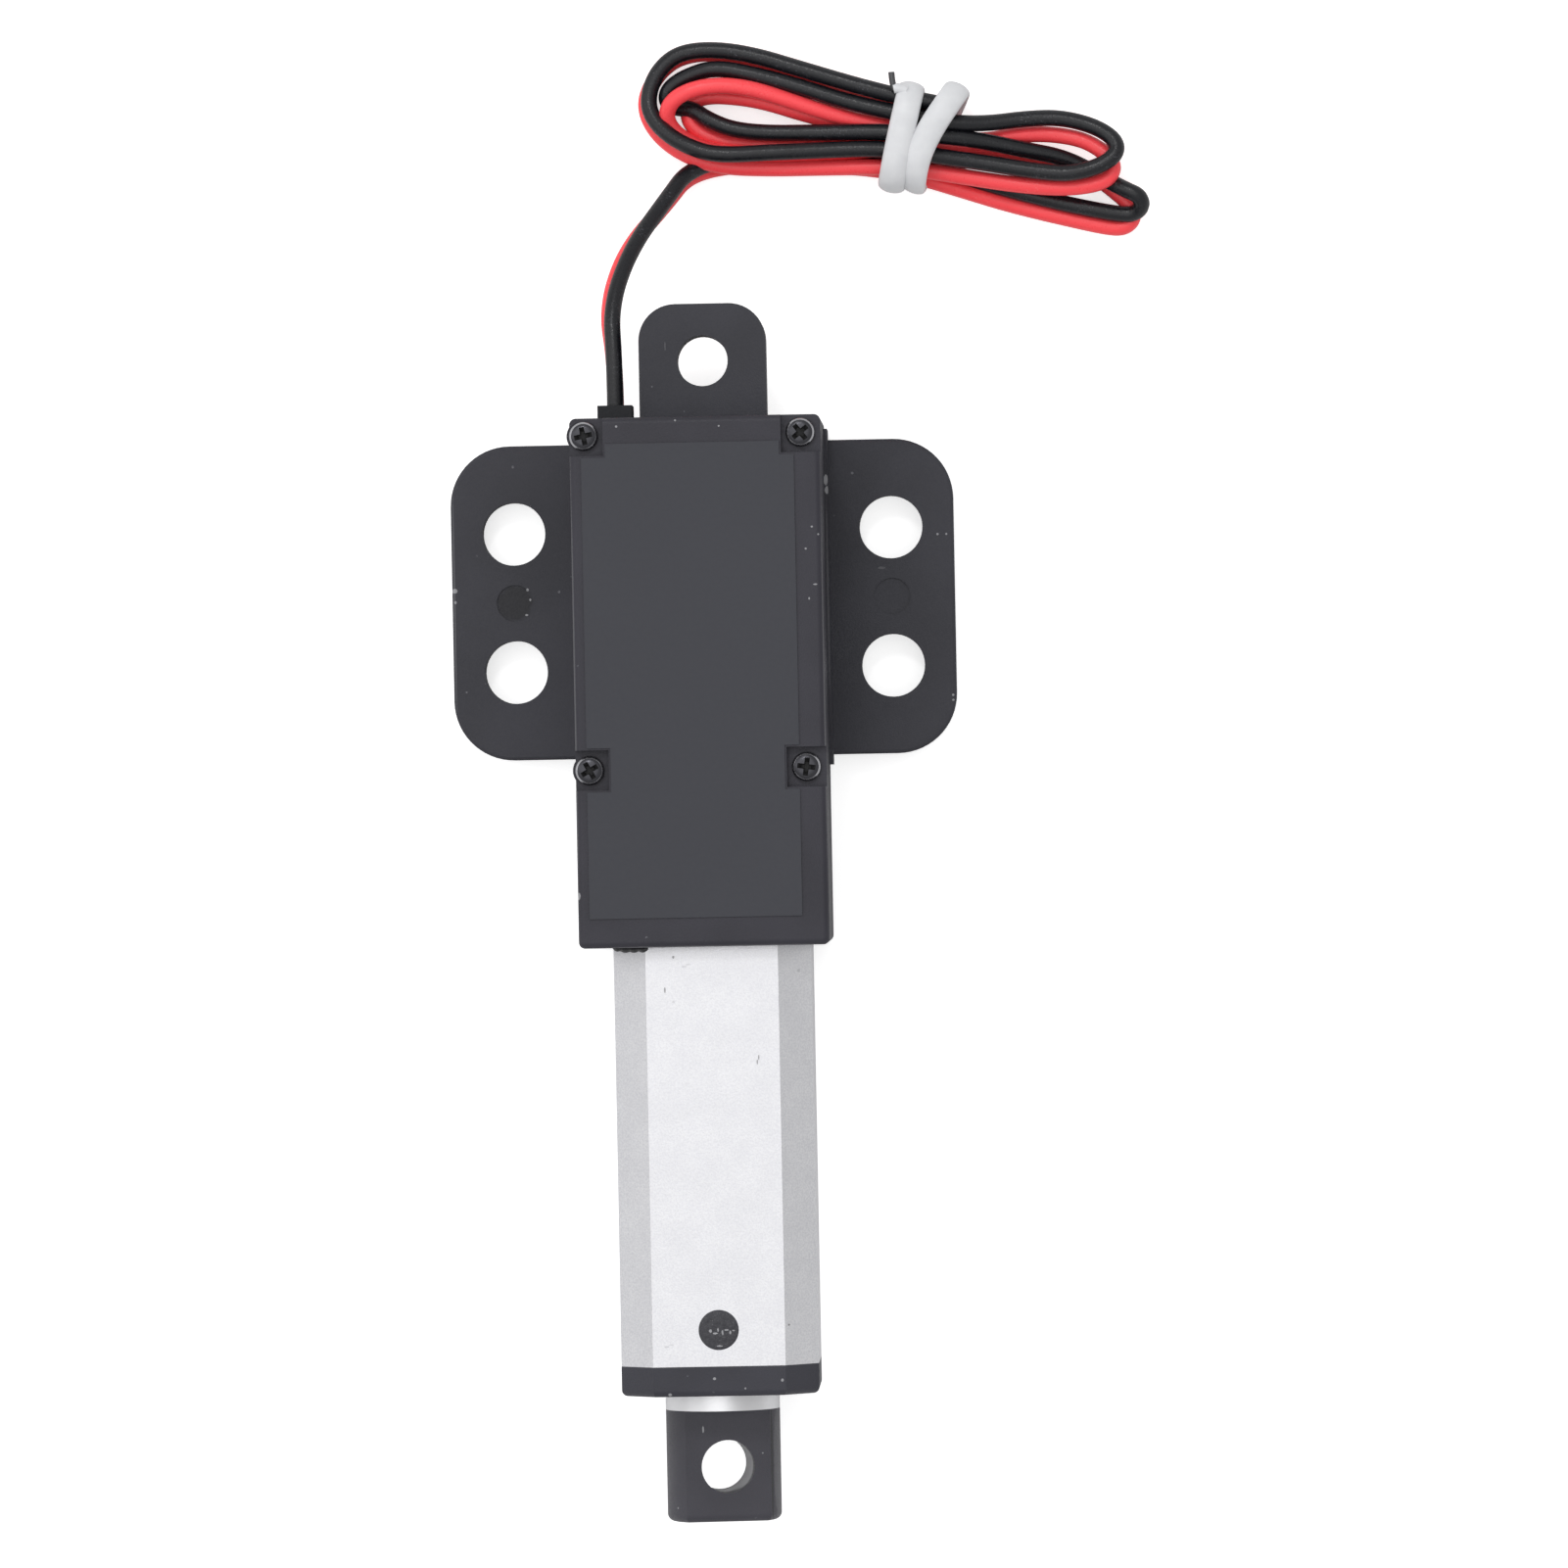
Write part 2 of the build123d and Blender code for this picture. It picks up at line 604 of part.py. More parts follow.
def bearing_inner_race():
    return ring(INNER_RACE, SCREW_CORE, BARREL_START, BEARING_END)


def bearing_shields():
    """The two dust shields, held by the outer race just clear of the inner one."""
    inside = INNER_RACE + 2 * RUNNING_FIT
    rear = BARREL_START + SHIELD_INSET
    front = BEARING_END - SHIELD_INSET - SHIELD
    starts = (rear, front)
    return Compound(children=[ring(OUTER_RACE, inside, start, start + SHIELD) for start in starts])


def bearing_carrier():
    return ring(BARREL_BORE, BEARING_OUTSIDE, BARREL_START, BEARING_END)


def lead_nut():
    """The nut's head, with the groove for its guide ring, and the spigot pressed into the rod."""
    solid = bar(NUT_HEAD, NUT_START, NUT_HEAD_END)
    solid += bar(ROD_BORE, NUT_HEAD_END, NUT_HEAD_END + NUT_SPIGOT)
    middle = (NUT_START + NUT_HEAD_END) / 2
    solid -= ring(NUT_HEAD, GUIDE_GROOVE, middle - GUIDE_LENGTH / 2, middle + GUIDE_LENGTH / 2)
    return solid - bar(SCREW_CORE + 2 * RUNNING_FIT, NUT_START, NUT_HEAD_END + NUT_SPIGOT)


def nut_guide_ring():
    middle = (NUT_START + NUT_HEAD_END) / 2
    half = GUIDE_LENGTH / 2 - RUNNING_FIT
    outside = BARREL_BORE - 2 * RUNNING_FIT
    return ring(outside, GUIDE_GROOVE + 2 * RUNNING_FIT, middle - half, middle + half)


# Gear train


def involute(angle):
    return math.tan(angle) - angle


def gear_outline(teeth, turn):
    """An involute gear with a straight root below its base circle."""
    pitch = MODULE * teeth / 2
    base = pitch * math.cos(math.radians(PRESSURE_ANGLE))
    root = pitch - 1.25 * MODULE
    tip = pitch + MODULE
    at_pitch = math.pi / (2 * teeth) * TOOTH_SHARE
    points = []
    for tooth in range(teeth):
        middle = 2 * math.pi * tooth / teeth + math.radians(turn)
        flank = []
        for radius in (max(base, root + MODULE / 4), pitch, tip):
            spread = involute(math.radians(PRESSURE_ANGLE)) - involute(math.acos(min(1, base / radius)))
            flank.append((radius, at_pitch + spread))
        flank.insert(0, (root, flank[0][1]))
        points += [(radius, middle - half) for radius, half in flank]
        points += [(radius, middle + half) for radius, half in reversed(flank)]
    return Polygon(*[(r * math.cos(a), r * math.sin(a)) for r, a in points], align=None)


def gear(teeth, turn, start, width, at=(0, 0)):
    return Pos(at[0], at[1], 0) * profile(gear_outline(teeth, turn), start, start + width)


def toward(angle, teeth, gap):
    """The turn that points a tooth, or the gap between two teeth, at an angle."""
    pitch_angle = 360 / teeth
    return (angle + (pitch_angle / 2 if gap else 0)) % pitch_angle


def motor_pinion():
    start = STAGE_ONE - PINION_BEFORE
    width = PINION_BEFORE + STAGE_ONE_WIDTH + PINION_PAST
    turn = toward(LAYSHAFT_ANGLE, PINION_TEETH, True)
    return gear(PINION_TEETH, turn, start, width) - bar(MOTOR_SHAFT, start, start + width)


def compound_gear():
    """The layshaft's wheel and pinion, moulded as one."""
    back = LAYSHAFT_ANGLE + 180
    start = GEARBOX_REAR + FACE_GAP
    end = FRONT_PLATE_START - FACE_GAP
    wheel = gear(WHEEL_TEETH, toward(back, WHEEL_TEETH, False), STAGE_ONE, STAGE_ONE_WIDTH, LAYSHAFT)
    pinion_start = STAGE_ONE + STAGE_ONE_WIDTH
    pinion_turn = toward(back, PINION_TEETH, True)
    pinion = gear(PINION_TEETH, pinion_turn, pinion_start, end - pinion_start, LAYSHAFT)
    hub = bar(LAYSHAFT_HUB, start, STAGE_ONE, LAYSHAFT)
    bore = bar(LAYSHAFT_PIN + 2 * RUNNING_FIT, start, end, LAYSHAFT)
    return wheel + pinion + hub - bore


def output_gear():
    """The wheel on the screw's journal, with a short hub towards the front plate."""
    turn = toward(LAYSHAFT_ANGLE, WHEEL_TEETH, False)
    end = FRONT_PLATE_START - FACE_GAP
    solid = gear(WHEEL_TEETH, turn, STAGE_TWO, STAGE_TWO_WIDTH)
    solid += bar(OUTPUT_HUB, STAGE_TWO + STAGE_TWO_WIDTH, end)
    return solid - bar(SCREW_CORE, STAGE_TWO, end)


def plate(start, end, hole):
    half = PLATE_WIDTH / 2
    solid = block((-half, half), (PLATE_BOTTOM, PLATE_TOP), (start, end))
    solid = chamfer(solid.edges().filter_by(Axis.Z), PLATE_CORNER)
    solid -= bar(hole, start, end)
    solid -= bar(LAYSHAFT_PIN, start, end, LAYSHAFT)
    return solid


def gearbox_rear_plate():
    return plate(GEARBOX_START, GEARBOX_REAR, REAR_PLATE_HOLE)


def gearbox_front_plate():
    return plate(FRONT_PLATE_START, FRONT_PLATE_END, SCREW_CORE + 2 * RUNNING_FIT)


def gearbox_posts():
    return Compound(children=[bar(GEARBOX_POST, GEARBOX_REAR, FRONT_PLATE_START, at) for at in POSTS])


def layshaft_pin():
    return bar(LAYSHAFT_PIN, GEARBOX_START, FRONT_PLATE_END, LAYSHAFT)


# Motor


def motor_can():
    """The steel can with two flats, its shaft's bearing and the blind bore that the shaft turns in."""
    solid = profile(motor_outline(), CAN_START, GEARBOX_START)
    start = GEARBOX_START - SHAFT_IN_CAN
    return solid - bar(MOTOR_SHAFT + 2 * RUNNING_FIT, start, GEARBOX_START)


def motor_end_bell():
    solid = profile(motor_outline(), BELL_START, CAN_START)
    return chamfer(solid.faces().sort_by(Axis.Z)[0].edges(), BELL_EDGE)


def motor_terminals():
    tabs = []
    for across in (-TERMINAL_ACROSS, TERMINAL_ACROSS):
        half = TERMINAL_WIDTH / 2
        thin = TERMINAL_THICKNESS / 2
        along = (BELL_START - TERMINAL_LENGTH, BELL_START)
        tab = block((across - half, across + half), (-thin, thin), along)
        hole = post(TERMINAL_HOLE, -thin, thin, (across, BELL_START - TERMINAL_LENGTH / 2))
        tabs.append(tab - hole)
    return Compound(children=tabs)


def motor_shaft():
    start = GEARBOX_START - SHAFT_IN_CAN + FACE_GAP
    return bar(MOTOR_SHAFT, start, STAGE_ONE + STAGE_ONE_WIDTH + PINION_PAST)


# Limit switches


def limit_switch_board():
    half = BOARD_WIDTH / 2
    up = (BOARD_SLOT_FLOOR, BOARD_SLOT_FLOOR + BOARD_THICKNESS)
    return block((-half, half), up, (BOARD_START, BOARD_END))


def limit_switches():
    top = BOARD_SLOT_FLOOR + BOARD_THICKNESS
    switches = []
    width, height, length = SWITCH_SIZE
    for middle in SWITCHES:
        along = (middle - length / 2, middle + length / 2)
        body = block((-width / 2, width / 2), (top, top + height), along)
        lid = top + height
        switches.append(body + post(PLUNGER, lid, lid + PLUNGER_HEIGHT, (0, middle)))
    return Compound(children=switches)


def steering_diodes():
    centre = BOARD_SLOT_FLOOR + BOARD_THICKNESS + DIODE / 2
    diodes = []
    for place in DIODE_PLACES:
        middle = BARREL_START + place
        start, end = middle - DIODE_LENGTH / 2, middle + DIODE_LENGTH / 2
        diodes.append(bar(DIODE, start, end, (0, centre)))
    return Compound(children=diodes)


# Lead


def grommet_block(size, start, end):
    width, height = size
    return block(
        (GROMMET_ACROSS - width / 2, GROMMET_ACROSS + width / 2),
        (GROMMET_UP - height / 2, GROMMET_UP + height / 2),
        (start, end),
    )


def wire_heights():
    return (GROMMET_UP + WIRE_STACK / 2, GROMMET_UP - WIRE_STACK / 2)


def cable_grommet():
    start = BOX_START - GROMMET_PROUD
    inside_end = BOX_START + WALL + GROMMET_INSIDE[2]
    solid = grommet_block(GROMMET_FLANGE, start, BOX_START)
    solid += grommet_block(GROMMET_NECK, BOX_START, BOX_START + WALL)
    solid += grommet_block(GROMMET_INSIDE[:2], BOX_START + WALL, inside_end)
    for up in wire_heights():
        solid -= bar(WIRE, start, inside_end, (GROMMET_ACROSS, up))
    return solid


def lead_tails():
    """The two wires' inner ends, through the grommet to the motor."""
    start = BOX_START - GROMMET_PROUD
    end = BELL_START - WIRE_TAIL
    return Compound(children=[bar(WIRE, start, end, (GROMMET_ACROSS, up)) for up in wire_heights()])


def route_radii(points):
    """The arc at each corner, as large as its two runs allow."""
    vectors = [Vector(*p) for p in points]
    radii = []
    for before, corner, after in zip(vectors, vectors[1:], vectors[2:]):
        turn = math.radians((corner - before).get_angle(after - corner))
        shorter = min((corner - before).length, (after - corner).length)
        radii.append(0.45 * shorter / math.tan(turn / 2))
    return radii


def wire(name, points):
    radii = route_radii(points)
    path = FilletPolyline(*points, radius=radii)
    start = Plane(origin=path @ 0, z_dir=path % 0)
    solid = sweep(start * Circle(WIRE / 2), path=path)
    section = math.pi * WIRE**2 / 4
    print(name, "radii", [round(r, 1) for r in radii], "length", round(path.length, 1))
    print(name, "volume", round(solid.volume, 2), "section times length", round(section * path.length, 2))
    return solid


def tie_bands():
    """The tie's two wraps round the hank, each slanting its own way."""
    width, height = TIE_REACH
    wall = 2 * TIE_THICKNESS
    outline = RectangleRounded(width, height, TIE_ROUND)
    outline -= RectangleRounded(width - wall, height - wall, TIE_ROUND - TIE_THICKNESS / 2)
    bands = Part()
    for (x, y), slant in TIE_BANDS:
        band = extrude(Plane.YZ * outline, TIE_WIDTH / 2, both=True)
        bands += Pos(x, y, FLOOR + height / 2) * Rot(0, 0, slant) * band
    return bands


def hank_end(circles):
    rims = [Pos(x, y) * Circle(radius).edge() for x, y, radius in circles]
    solid = extrude(Pos(0, 0, FLOOR) * make_hull(rims), HANK_HEIGHT)
    faces = solid.faces().sort_by(Axis.Z)
    return chamfer(faces[0].edges() + faces[-1].edges(), HANK_EDGE)


def lead_hank():
    """The tied turns as one body: the two ends on the floor and the waist that the tie lifts."""
    waist = Box(*WAIST_SIZE)
    waist = chamfer(waist.edges().filter_by(Axis.X), WAIST_EDGE)
    (x, y), slant = HANK_WAIST
    up = FLOOR + TIE_REACH[1] / 2
    return hank_end(HANK_LEFT) + Pos(x, y, up) * Rot(0, 0, slant) * waist + hank_end(HANK_RIGHT)


def tie_core_wire():
    """The bare tip of the tie's steel core, in line with its first wrap."""
    (x0, y0), (x1, y1) = TIE_CORE_TIP
    height = FLOOR + TIE_REACH[1] - TIE_THICKNESS / 2
    path = Line((x0, y0, height), (x1, y1, height))
    return sweep(Plane(origin=path @ 0, z_dir=path % 0) * Circle(TIE_CORE / 2), path=path)


def build():
    os.makedirs("parts", exist_ok=True)
    save_bench("back_shell", back_shell())
    save_bench("front_cover", front_cover())
    save_bench("blank_label", blank_label())
    save_bench("cover_screws", cover_screws())
    save_bench("barrel_tube", barrel_tube())
    save_bench("end_cap", end_cap())
    save_bench("rod_wiper_seal", rod_wiper_seal())
    save_bench("rod_tube", rod_tube())
    save_bench("rod_end", rod_end())
    save_bench("lead_screw", lead_screw())
    save_bench("screw_clip", screw_clip())
    save_bench("bearing_outer_race", bearing_outer_race())
    save_bench("bearing_inner_race", bearing_inner_race())
    save_bench("bearing_shields", bearing_shields())
    save_bench("bearing_carrier", bearing_carrier())
    save_bench("lead_nut", lead_nut())
    save_bench("nut_guide_ring", nut_guide_ring())
    save_bench("motor_pinion", motor_pinion())
    save_bench("compound_gear", compound_gear())
    save_bench("output_gear", output_gear())
    save_bench("gearbox_rear_plate", gearbox_rear_plate())
    save_bench("gearbox_front_plate", gearbox_front_plate())
    save_bench("gearbox_posts", gearbox_posts())
    save_bench("layshaft_pin", layshaft_pin())
    save_bench("motor_can", motor_can())
    save_bench("motor_end_bell", motor_end_bell())
    save_bench("motor_terminals", motor_terminals())
    save_bench("motor_shaft", motor_shaft())
    save_bench("limit_switch_board", limit_switch_board())
    save_bench("limit_switches", limit_switches())
    save_bench("steering_diodes", steering_diodes())
    save_bench("cable_grommet", cable_grommet())
    save_bench("lead_tails", lead_tails())

    hank = lead_hank()
    core = tie_core_wire()
    save("lead_hank", hank)
    save("black_lead", wire("black lead", BLACK_ROUTE) - hank)
    save("red_lead", wire("red lead", RED_ROUTE) - hank)
    save("hank_tie", tie_bands() - core)
    save("tie_core_wire", core)


build()
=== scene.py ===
import math

import bmesh
import bpy
from mathutils import Matrix, Vector, noise


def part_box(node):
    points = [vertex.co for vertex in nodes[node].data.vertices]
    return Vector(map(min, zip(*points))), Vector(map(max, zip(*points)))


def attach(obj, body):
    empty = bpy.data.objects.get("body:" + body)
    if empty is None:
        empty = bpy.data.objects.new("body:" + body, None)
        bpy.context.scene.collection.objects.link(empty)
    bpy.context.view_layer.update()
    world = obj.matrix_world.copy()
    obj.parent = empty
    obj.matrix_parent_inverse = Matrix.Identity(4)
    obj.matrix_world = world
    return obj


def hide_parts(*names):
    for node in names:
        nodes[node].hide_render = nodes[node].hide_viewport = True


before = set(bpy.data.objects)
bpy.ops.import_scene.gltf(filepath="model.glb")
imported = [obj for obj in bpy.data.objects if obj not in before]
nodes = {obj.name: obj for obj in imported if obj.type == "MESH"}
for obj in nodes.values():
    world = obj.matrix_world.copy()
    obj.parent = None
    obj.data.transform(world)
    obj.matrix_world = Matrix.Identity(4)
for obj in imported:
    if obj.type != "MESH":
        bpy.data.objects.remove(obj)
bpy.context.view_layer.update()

MM = 0.001
scene = bpy.context.scene

# Heights, in millimetres, from the model's own solids
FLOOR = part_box("back_shell")[0].z / MM
COVER_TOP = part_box("front_cover")[1].z / MM
BARREL_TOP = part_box("barrel_tube")[1].z / MM
# The upper faces of the wings and of the thicker strip where they join the housing
WING_TOP = FLOOR + 2.5
WING_ROOT_TOP = FLOOR + 5.5

# Camera, straight above, a little to the right of the housing and turned with it

VIEW_TURN = math.radians(1.1)
VIEW_WIDTH = 123.63
VIEW_DISTANCE = 850.0
VIEW_ASIDE = 17.8
VIEW_TARGET = Vector((5.76, -33.43, 0.0))
SENSOR = 36.0


def make_camera():
    camera = bpy.data.objects.new("camera", bpy.data.cameras.new("camera"))
    scene.collection.objects.link(camera)
    place = VIEW_TARGET + Vector((VIEW_ASIDE, 0.0, VIEW_DISTANCE))
    back = (place - VIEW_TARGET).normalized()
    right = Vector((math.cos(VIEW_TURN), -math.sin(VIEW_TURN), 0.0))
    right = (right - right.dot(back) * back).normalized()
    turn = Matrix((right, back.cross(right), back)).transposed().to_4x4()
    camera.matrix_world = Matrix.Translation(place * MM) @ turn
    camera.data.sensor_width = SENSOR
    camera.data.lens = SENSOR * VIEW_DISTANCE / VIEW_WIDTH
    camera.data.clip_start = 0.01
    scene.camera = camera


# The lead: each wire from the grommet round the turns of its hank, in millimetres

WIRE = 1.3

BLACK_FREE = [
    (-6.95, -3.4, 0.88), (-6.95, 0.2, 0.88), (-7.2, 4.6, -0.2), (-5.6, 9.2, -2.9),
    (-2.8, 13.2, -6.0),
]
BLACK_TURNS = [
    # under the hank to its lower right-hand loop, and round it
    (-1.0, 15.7, -7.5), (3.4, 16.7, -8.7), (9.0, 16.65, -8.85), (13.2, 16.5, -8.3),
    (17.0, 15.9, -7.85), (20.6, 14.7, -8.2), (24.4, 13.5, -8.2), (28.4, 12.4, -8.0),
    (31.5, 11.7, -8.05), (33.4, 11.35, -8.1), (34.4, 11.4, -8.0), (35.0, 12.0, -7.4),
    (34.75, 12.75, -6.8), (33.8, 13.2, -6.8), (32.7, 13.8, -7.4), (31.0, 14.85, -7.9),
    (28.7, 16.0, -7.6), (25.7, 16.6, -7.0), (22.8, 17.25, -6.5),
    # back through the tie to the inner left-hand loop
    (20.3, 17.65, -5.9), (17.0, 17.95, -5.4), (14.0, 18.2, -5.6), (9.5, 18.25, -6.2),
    (5.2, 18.3, -6.4), (2.5, 18.65, -6.5), (0.6, 19.5, -6.9), (-0.6, 20.4, -7.5),
    (-1.7, 20.5, -7.9), (-2.45, 20.7, -7.85), (-2.8, 21.4, -7.65), (-2.35, 22.2, -7.4),
    (-1.15, 22.95, -7.1), (1.1, 23.65, -6.7), (4.3, 23.0, -6.4), (8.0, 21.9, -6.1),
    (12.0, 20.5, -5.7),
    # and on to the upper right-hand loop
    (17.0, 19.35, -5.4), (20.0, 18.75, -5.7), (22.9, 18.7, -6.3), (25.8, 19.05, -6.7),
    (28.5, 19.1, -6.8), (31.0, 18.45, -6.6), (32.6, 17.5, -6.1), (33.1, 16.55, -5.75),
    (32.7, 15.75, -5.5), (31.4, 15.0, -5.4), (29.2, 14.5, -5.4), (26.5, 14.8, -5.7),
    (22.8, 15.5, -5.9), (20.0, 15.95, -5.8),
    # the outer left-hand loop, which ends at the tie
    (17.0, 16.45, -5.4), (14.0, 16.85, -5.5), (9.9, 16.8, -5.6), (5.6, 16.7, -5.4),
    (1.35, 16.55, -5.3), (-0.8, 17.2, -5.6), (-2.85, 18.45, -6.4), (-4.1, 20.15, -7.1),
    (-4.1, 21.9, -7.4), (-3.2, 23.7, -7.4), (-1.6, 24.9, -7.3), (1.0, 25.12, -7.0),
    (4.2, 24.6, -6.6), (8.0, 23.35, -6.1), (12.0, 22.05, -5.7), (15.3, 21.1, -5.4),
    (17.6, 20.6, -5.4), (20.4, 20.0, -5.6),
]
RED_FREE = [
    (-6.95, -3.4, -0.47), (-6.95, 0.2, -0.47), (-7.6, 4.4, -1.8), (-6.2, 9.0, -4.4),
    (-2.9, 12.9, -7.6),
]
RED_TURNS = [
    # under the hank, round its lower right-hand loop
    (-1.0, 15.4, -8.85), (4.0, 16.1, -8.85), (9.0, 15.8, -8.85), (13.2, 15.5, -8.5),
    (17.0, 14.75, -8.1), (20.6, 13.6, -8.5), (24.0, 12.5, -8.85), (27.1, 11.65, -8.85),
    (29.9, 10.95, -8.85), (32.0, 10.45, -8.85), (33.3, 10.3, -8.85), (34.1, 10.75, -8.85),
    (34.3, 11.55, -8.85), (33.8, 12.4, -8.85), (32.9, 13.2, -8.85), (31.2, 14.6, -8.85),
    (28.5, 15.7, -8.8), (25.6, 16.4, -8.3), (22.8, 16.9, -7.8),
    # back through the tie and under the outer loop to the larger of the inner loops
    (20.4, 17.1, -7.1), (17.0, 17.2, -6.7), (14.0, 16.9, -7.0), (9.5, 16.6, -7.2),
    (5.5, 16.5, -7.2), (2.2, 16.7, -7.3), (-0.2, 17.35, -7.5), (-1.9, 18.35, -7.6),
    (-2.75, 19.5, -7.0), (-2.5, 20.75, -6.2), (-1.2, 21.7, -5.9), (1.1, 22.2, -5.9),
    (3.7, 21.95, -6.0), (6.3, 21.15, -6.2), (9.1, 20.15, -6.4), (13.0, 18.95, -6.7),
    # to the upper right-hand loop, below the black wire
    (17.0, 18.3, -6.8), (20.4, 17.5, -7.1), (22.7, 17.4, -7.4), (25.0, 17.8, -7.6),
    (27.4, 17.9, -7.8), (30.1, 17.45, -7.6), (31.8, 16.5, -7.1), (32.65, 15.5, -6.85),
    (32.7, 14.7, -6.7), (32.1, 14.0, -6.6), (30.8, 13.6, -6.5), (28.5, 13.45, -6.6),
    (25.1, 13.8, -6.8), (21.6, 14.4, -6.9), (19.4, 14.8, -6.9),
    # the outer left-hand loop, which ends at the tie
    (17.0, 15.2, -6.6), (14.0, 15.45, -6.8), (9.9, 15.5, -7.0), (5.6, 15.5, -7.1),
    (1.8, 15.7, -7.2), (-0.6, 16.4, -7.4), (-2.6, 17.6, -7.8), (-3.9, 19.1, -8.3),
    (-4.45, 20.6, -8.6), (-4.2, 22.0, -8.7), (-3.15, 23.6, -8.7), (-1.5, 24.7, -8.6),
    (1.1, 24.95, -8.3), (4.2, 24.2, -7.9), (8.0, 22.9, -7.4), (12.0, 21.4, -7.0),
    (15.5, 20.4, -6.7), (17.6, 19.9, -6.6), (19.6, 19.3, -6.8),
]
# One more turn of the red wire, whose ends are hidden in the tie
RED_INNER_TURN = [
    (17.5, 17.3, -7.9), (14.0, 17.45, -7.8), (9.5, 17.45, -7.7), (6.0, 17.45, -7.7),
    (3.2, 17.55, -7.8), (1.2, 17.9, -7.9), (-0.2, 18.55, -8.0), (-1.05, 19.6, -8.1),
    (-0.9, 20.95, -8.3), (0.6, 21.5, -8.2), (3.3, 21.25, -7.9), (5.5, 20.75, -7.7),
    (8.0, 19.9, -7.6), (12.0, 18.75, -7.7), (17.5, 18.3, -7.9),
]


def nurbs(name, points, radius, radii=None):
    """A smooth round line through the places in points. Radii are shares of the radius."""
    data = bpy.data.curves.new(name, "CURVE")
    data.dimensions = "3D"
    data.bevel_depth = radius * MM
    data.bevel_resolution = 5
    data.resolution_u = 14
    data.use_fill_caps = True
    spline = data.splines.new("NURBS")
    spline.points.add(len(points) - 1)
    for i, place in enumerate(points):
        spline.points[i].co = (*(Vector(place) * MM), 1.0)
        spline.points[i].radius = radii[i] if radii else 1.0
    spline.order_u = 3
    spline.use_endpoint_u = True
    piece = bpy.data.objects.new(name, data)
    scene.collection.objects.link(piece)
    return piece


def as_mesh(piece):
    """Turns a finished curve, or a mesh with modifiers, into a plain mesh piece at the origin."""
    bpy.context.view_layer.update()
    depsgraph = bpy.context.evaluated_depsgraph_get()
    mesh = bpy.data.meshes.new_from_object(piece.evaluated_get(depsgraph))
    mesh.transform(piece.matrix_world)
    name = piece.name
    bpy.data.objects.remove(piece)
    made = bpy.data.objects.new(name, mesh)
    scene.collection.objects.link(made)
    return made


def tube(name, points, thick, radii=None):
    """A round tube along a smooth line, as a mesh piece."""
    return as_mesh(nurbs(name, points, thick / 2, radii))


def wire(name, points):
    """A wire as a mesh tube, and the line that it follows."""
    line = tube(f"{name}_line", points, 0.0)
    path = [tuple(vertex.co) for vertex in line.data.vertices]
    bpy.data.objects.remove(line)
    return tube(name, points, WIRE), path


def smooth(piece, angle):
    """Rounds the shading of edges that bend by less than angle degrees."""
    mesh = piece.data
    for face in mesh.polygons:
        face.use_smooth = True
    shape = bmesh.new()
    shape.from_mesh(mesh)
    for edge in shape.edges:
        bend = edge.calc_face_angle(math.pi) if len(edge.link_faces) == 2 else math.pi
        edge.smooth = bend < math.radians(angle)
    shape.to_mesh(mesh)
    shape.free()
    return piece


def piece_from(name, shape):
    """A mesh piece from a bmesh whose places are in millimetres."""
    bmesh.ops.scale(shape, vec=(MM, MM, MM), verts=shape.verts)
    mesh = bpy.data.meshes.new(name)
    shape.to_mesh(mesh)
    shape.free()
    piece = bpy.data.objects.new(name, mesh)
    scene.collection.objects.link(piece)
    return piece


# The tie: two wraps of a plastic-coated wire, flattened where they bind the turns

TIE_THICK = 1.1
TIE_WIDE = 2.15
# A wrap rises and falls by TIE_RISE from the height TIE_UP, and its loop is rounder as
# TIE_SQUARE nears 1
TIE_RISE = 2.55
TIE_UP = -6.35
TIE_SQUARE = 0.66
TIE_STATIONS = 72
TIE_SIDES = 20
TIE_SOFT_EDGE = 70.0
# Each wrap: the middle, half its length, its slant, and how far its face bows to the left
TIE_WRAPS = (((15.95, 17.75), 3.95, -12.8, 0.05), ((18.6, 17.65), 4.2, -26.0, 0.55))
SHEATH_END = ((16.4, 21.3, -4.3), (15.9, 21.6, -4.25), (15.4, 21.5, -4.25))
SHEATH = 0.8
CORE_WIRE = ((15.5, 21.45, -4.25), (15.3, 21.9, -4.2), (15.27, 22.8, -4.05))
CORE = 0.5


def closed_tube(name, rings):
    """A mesh from rings of points that follow one another and close on the first."""
    shape = bmesh.new()
    rows = [[shape.verts.new(place) for place in ring] for ring in rings]
    for row, following in zip(rows, rows[1:] + rows[:1]):
        for i in range(len(row)):
            j = (i + 1) % len(row)
            shape.faces.new((row[i], row[j], following[j], following[i]))
    bmesh.ops.recalc_face_normals(shape, faces=shape.faces)
    return piece_from(name, shape)


def squared(share):
    """Moves a sine or cosine towards 1 or -1, which turns a circle into a rounded square."""
    return math.copysign(abs(share) ** TIE_SQUARE, share)


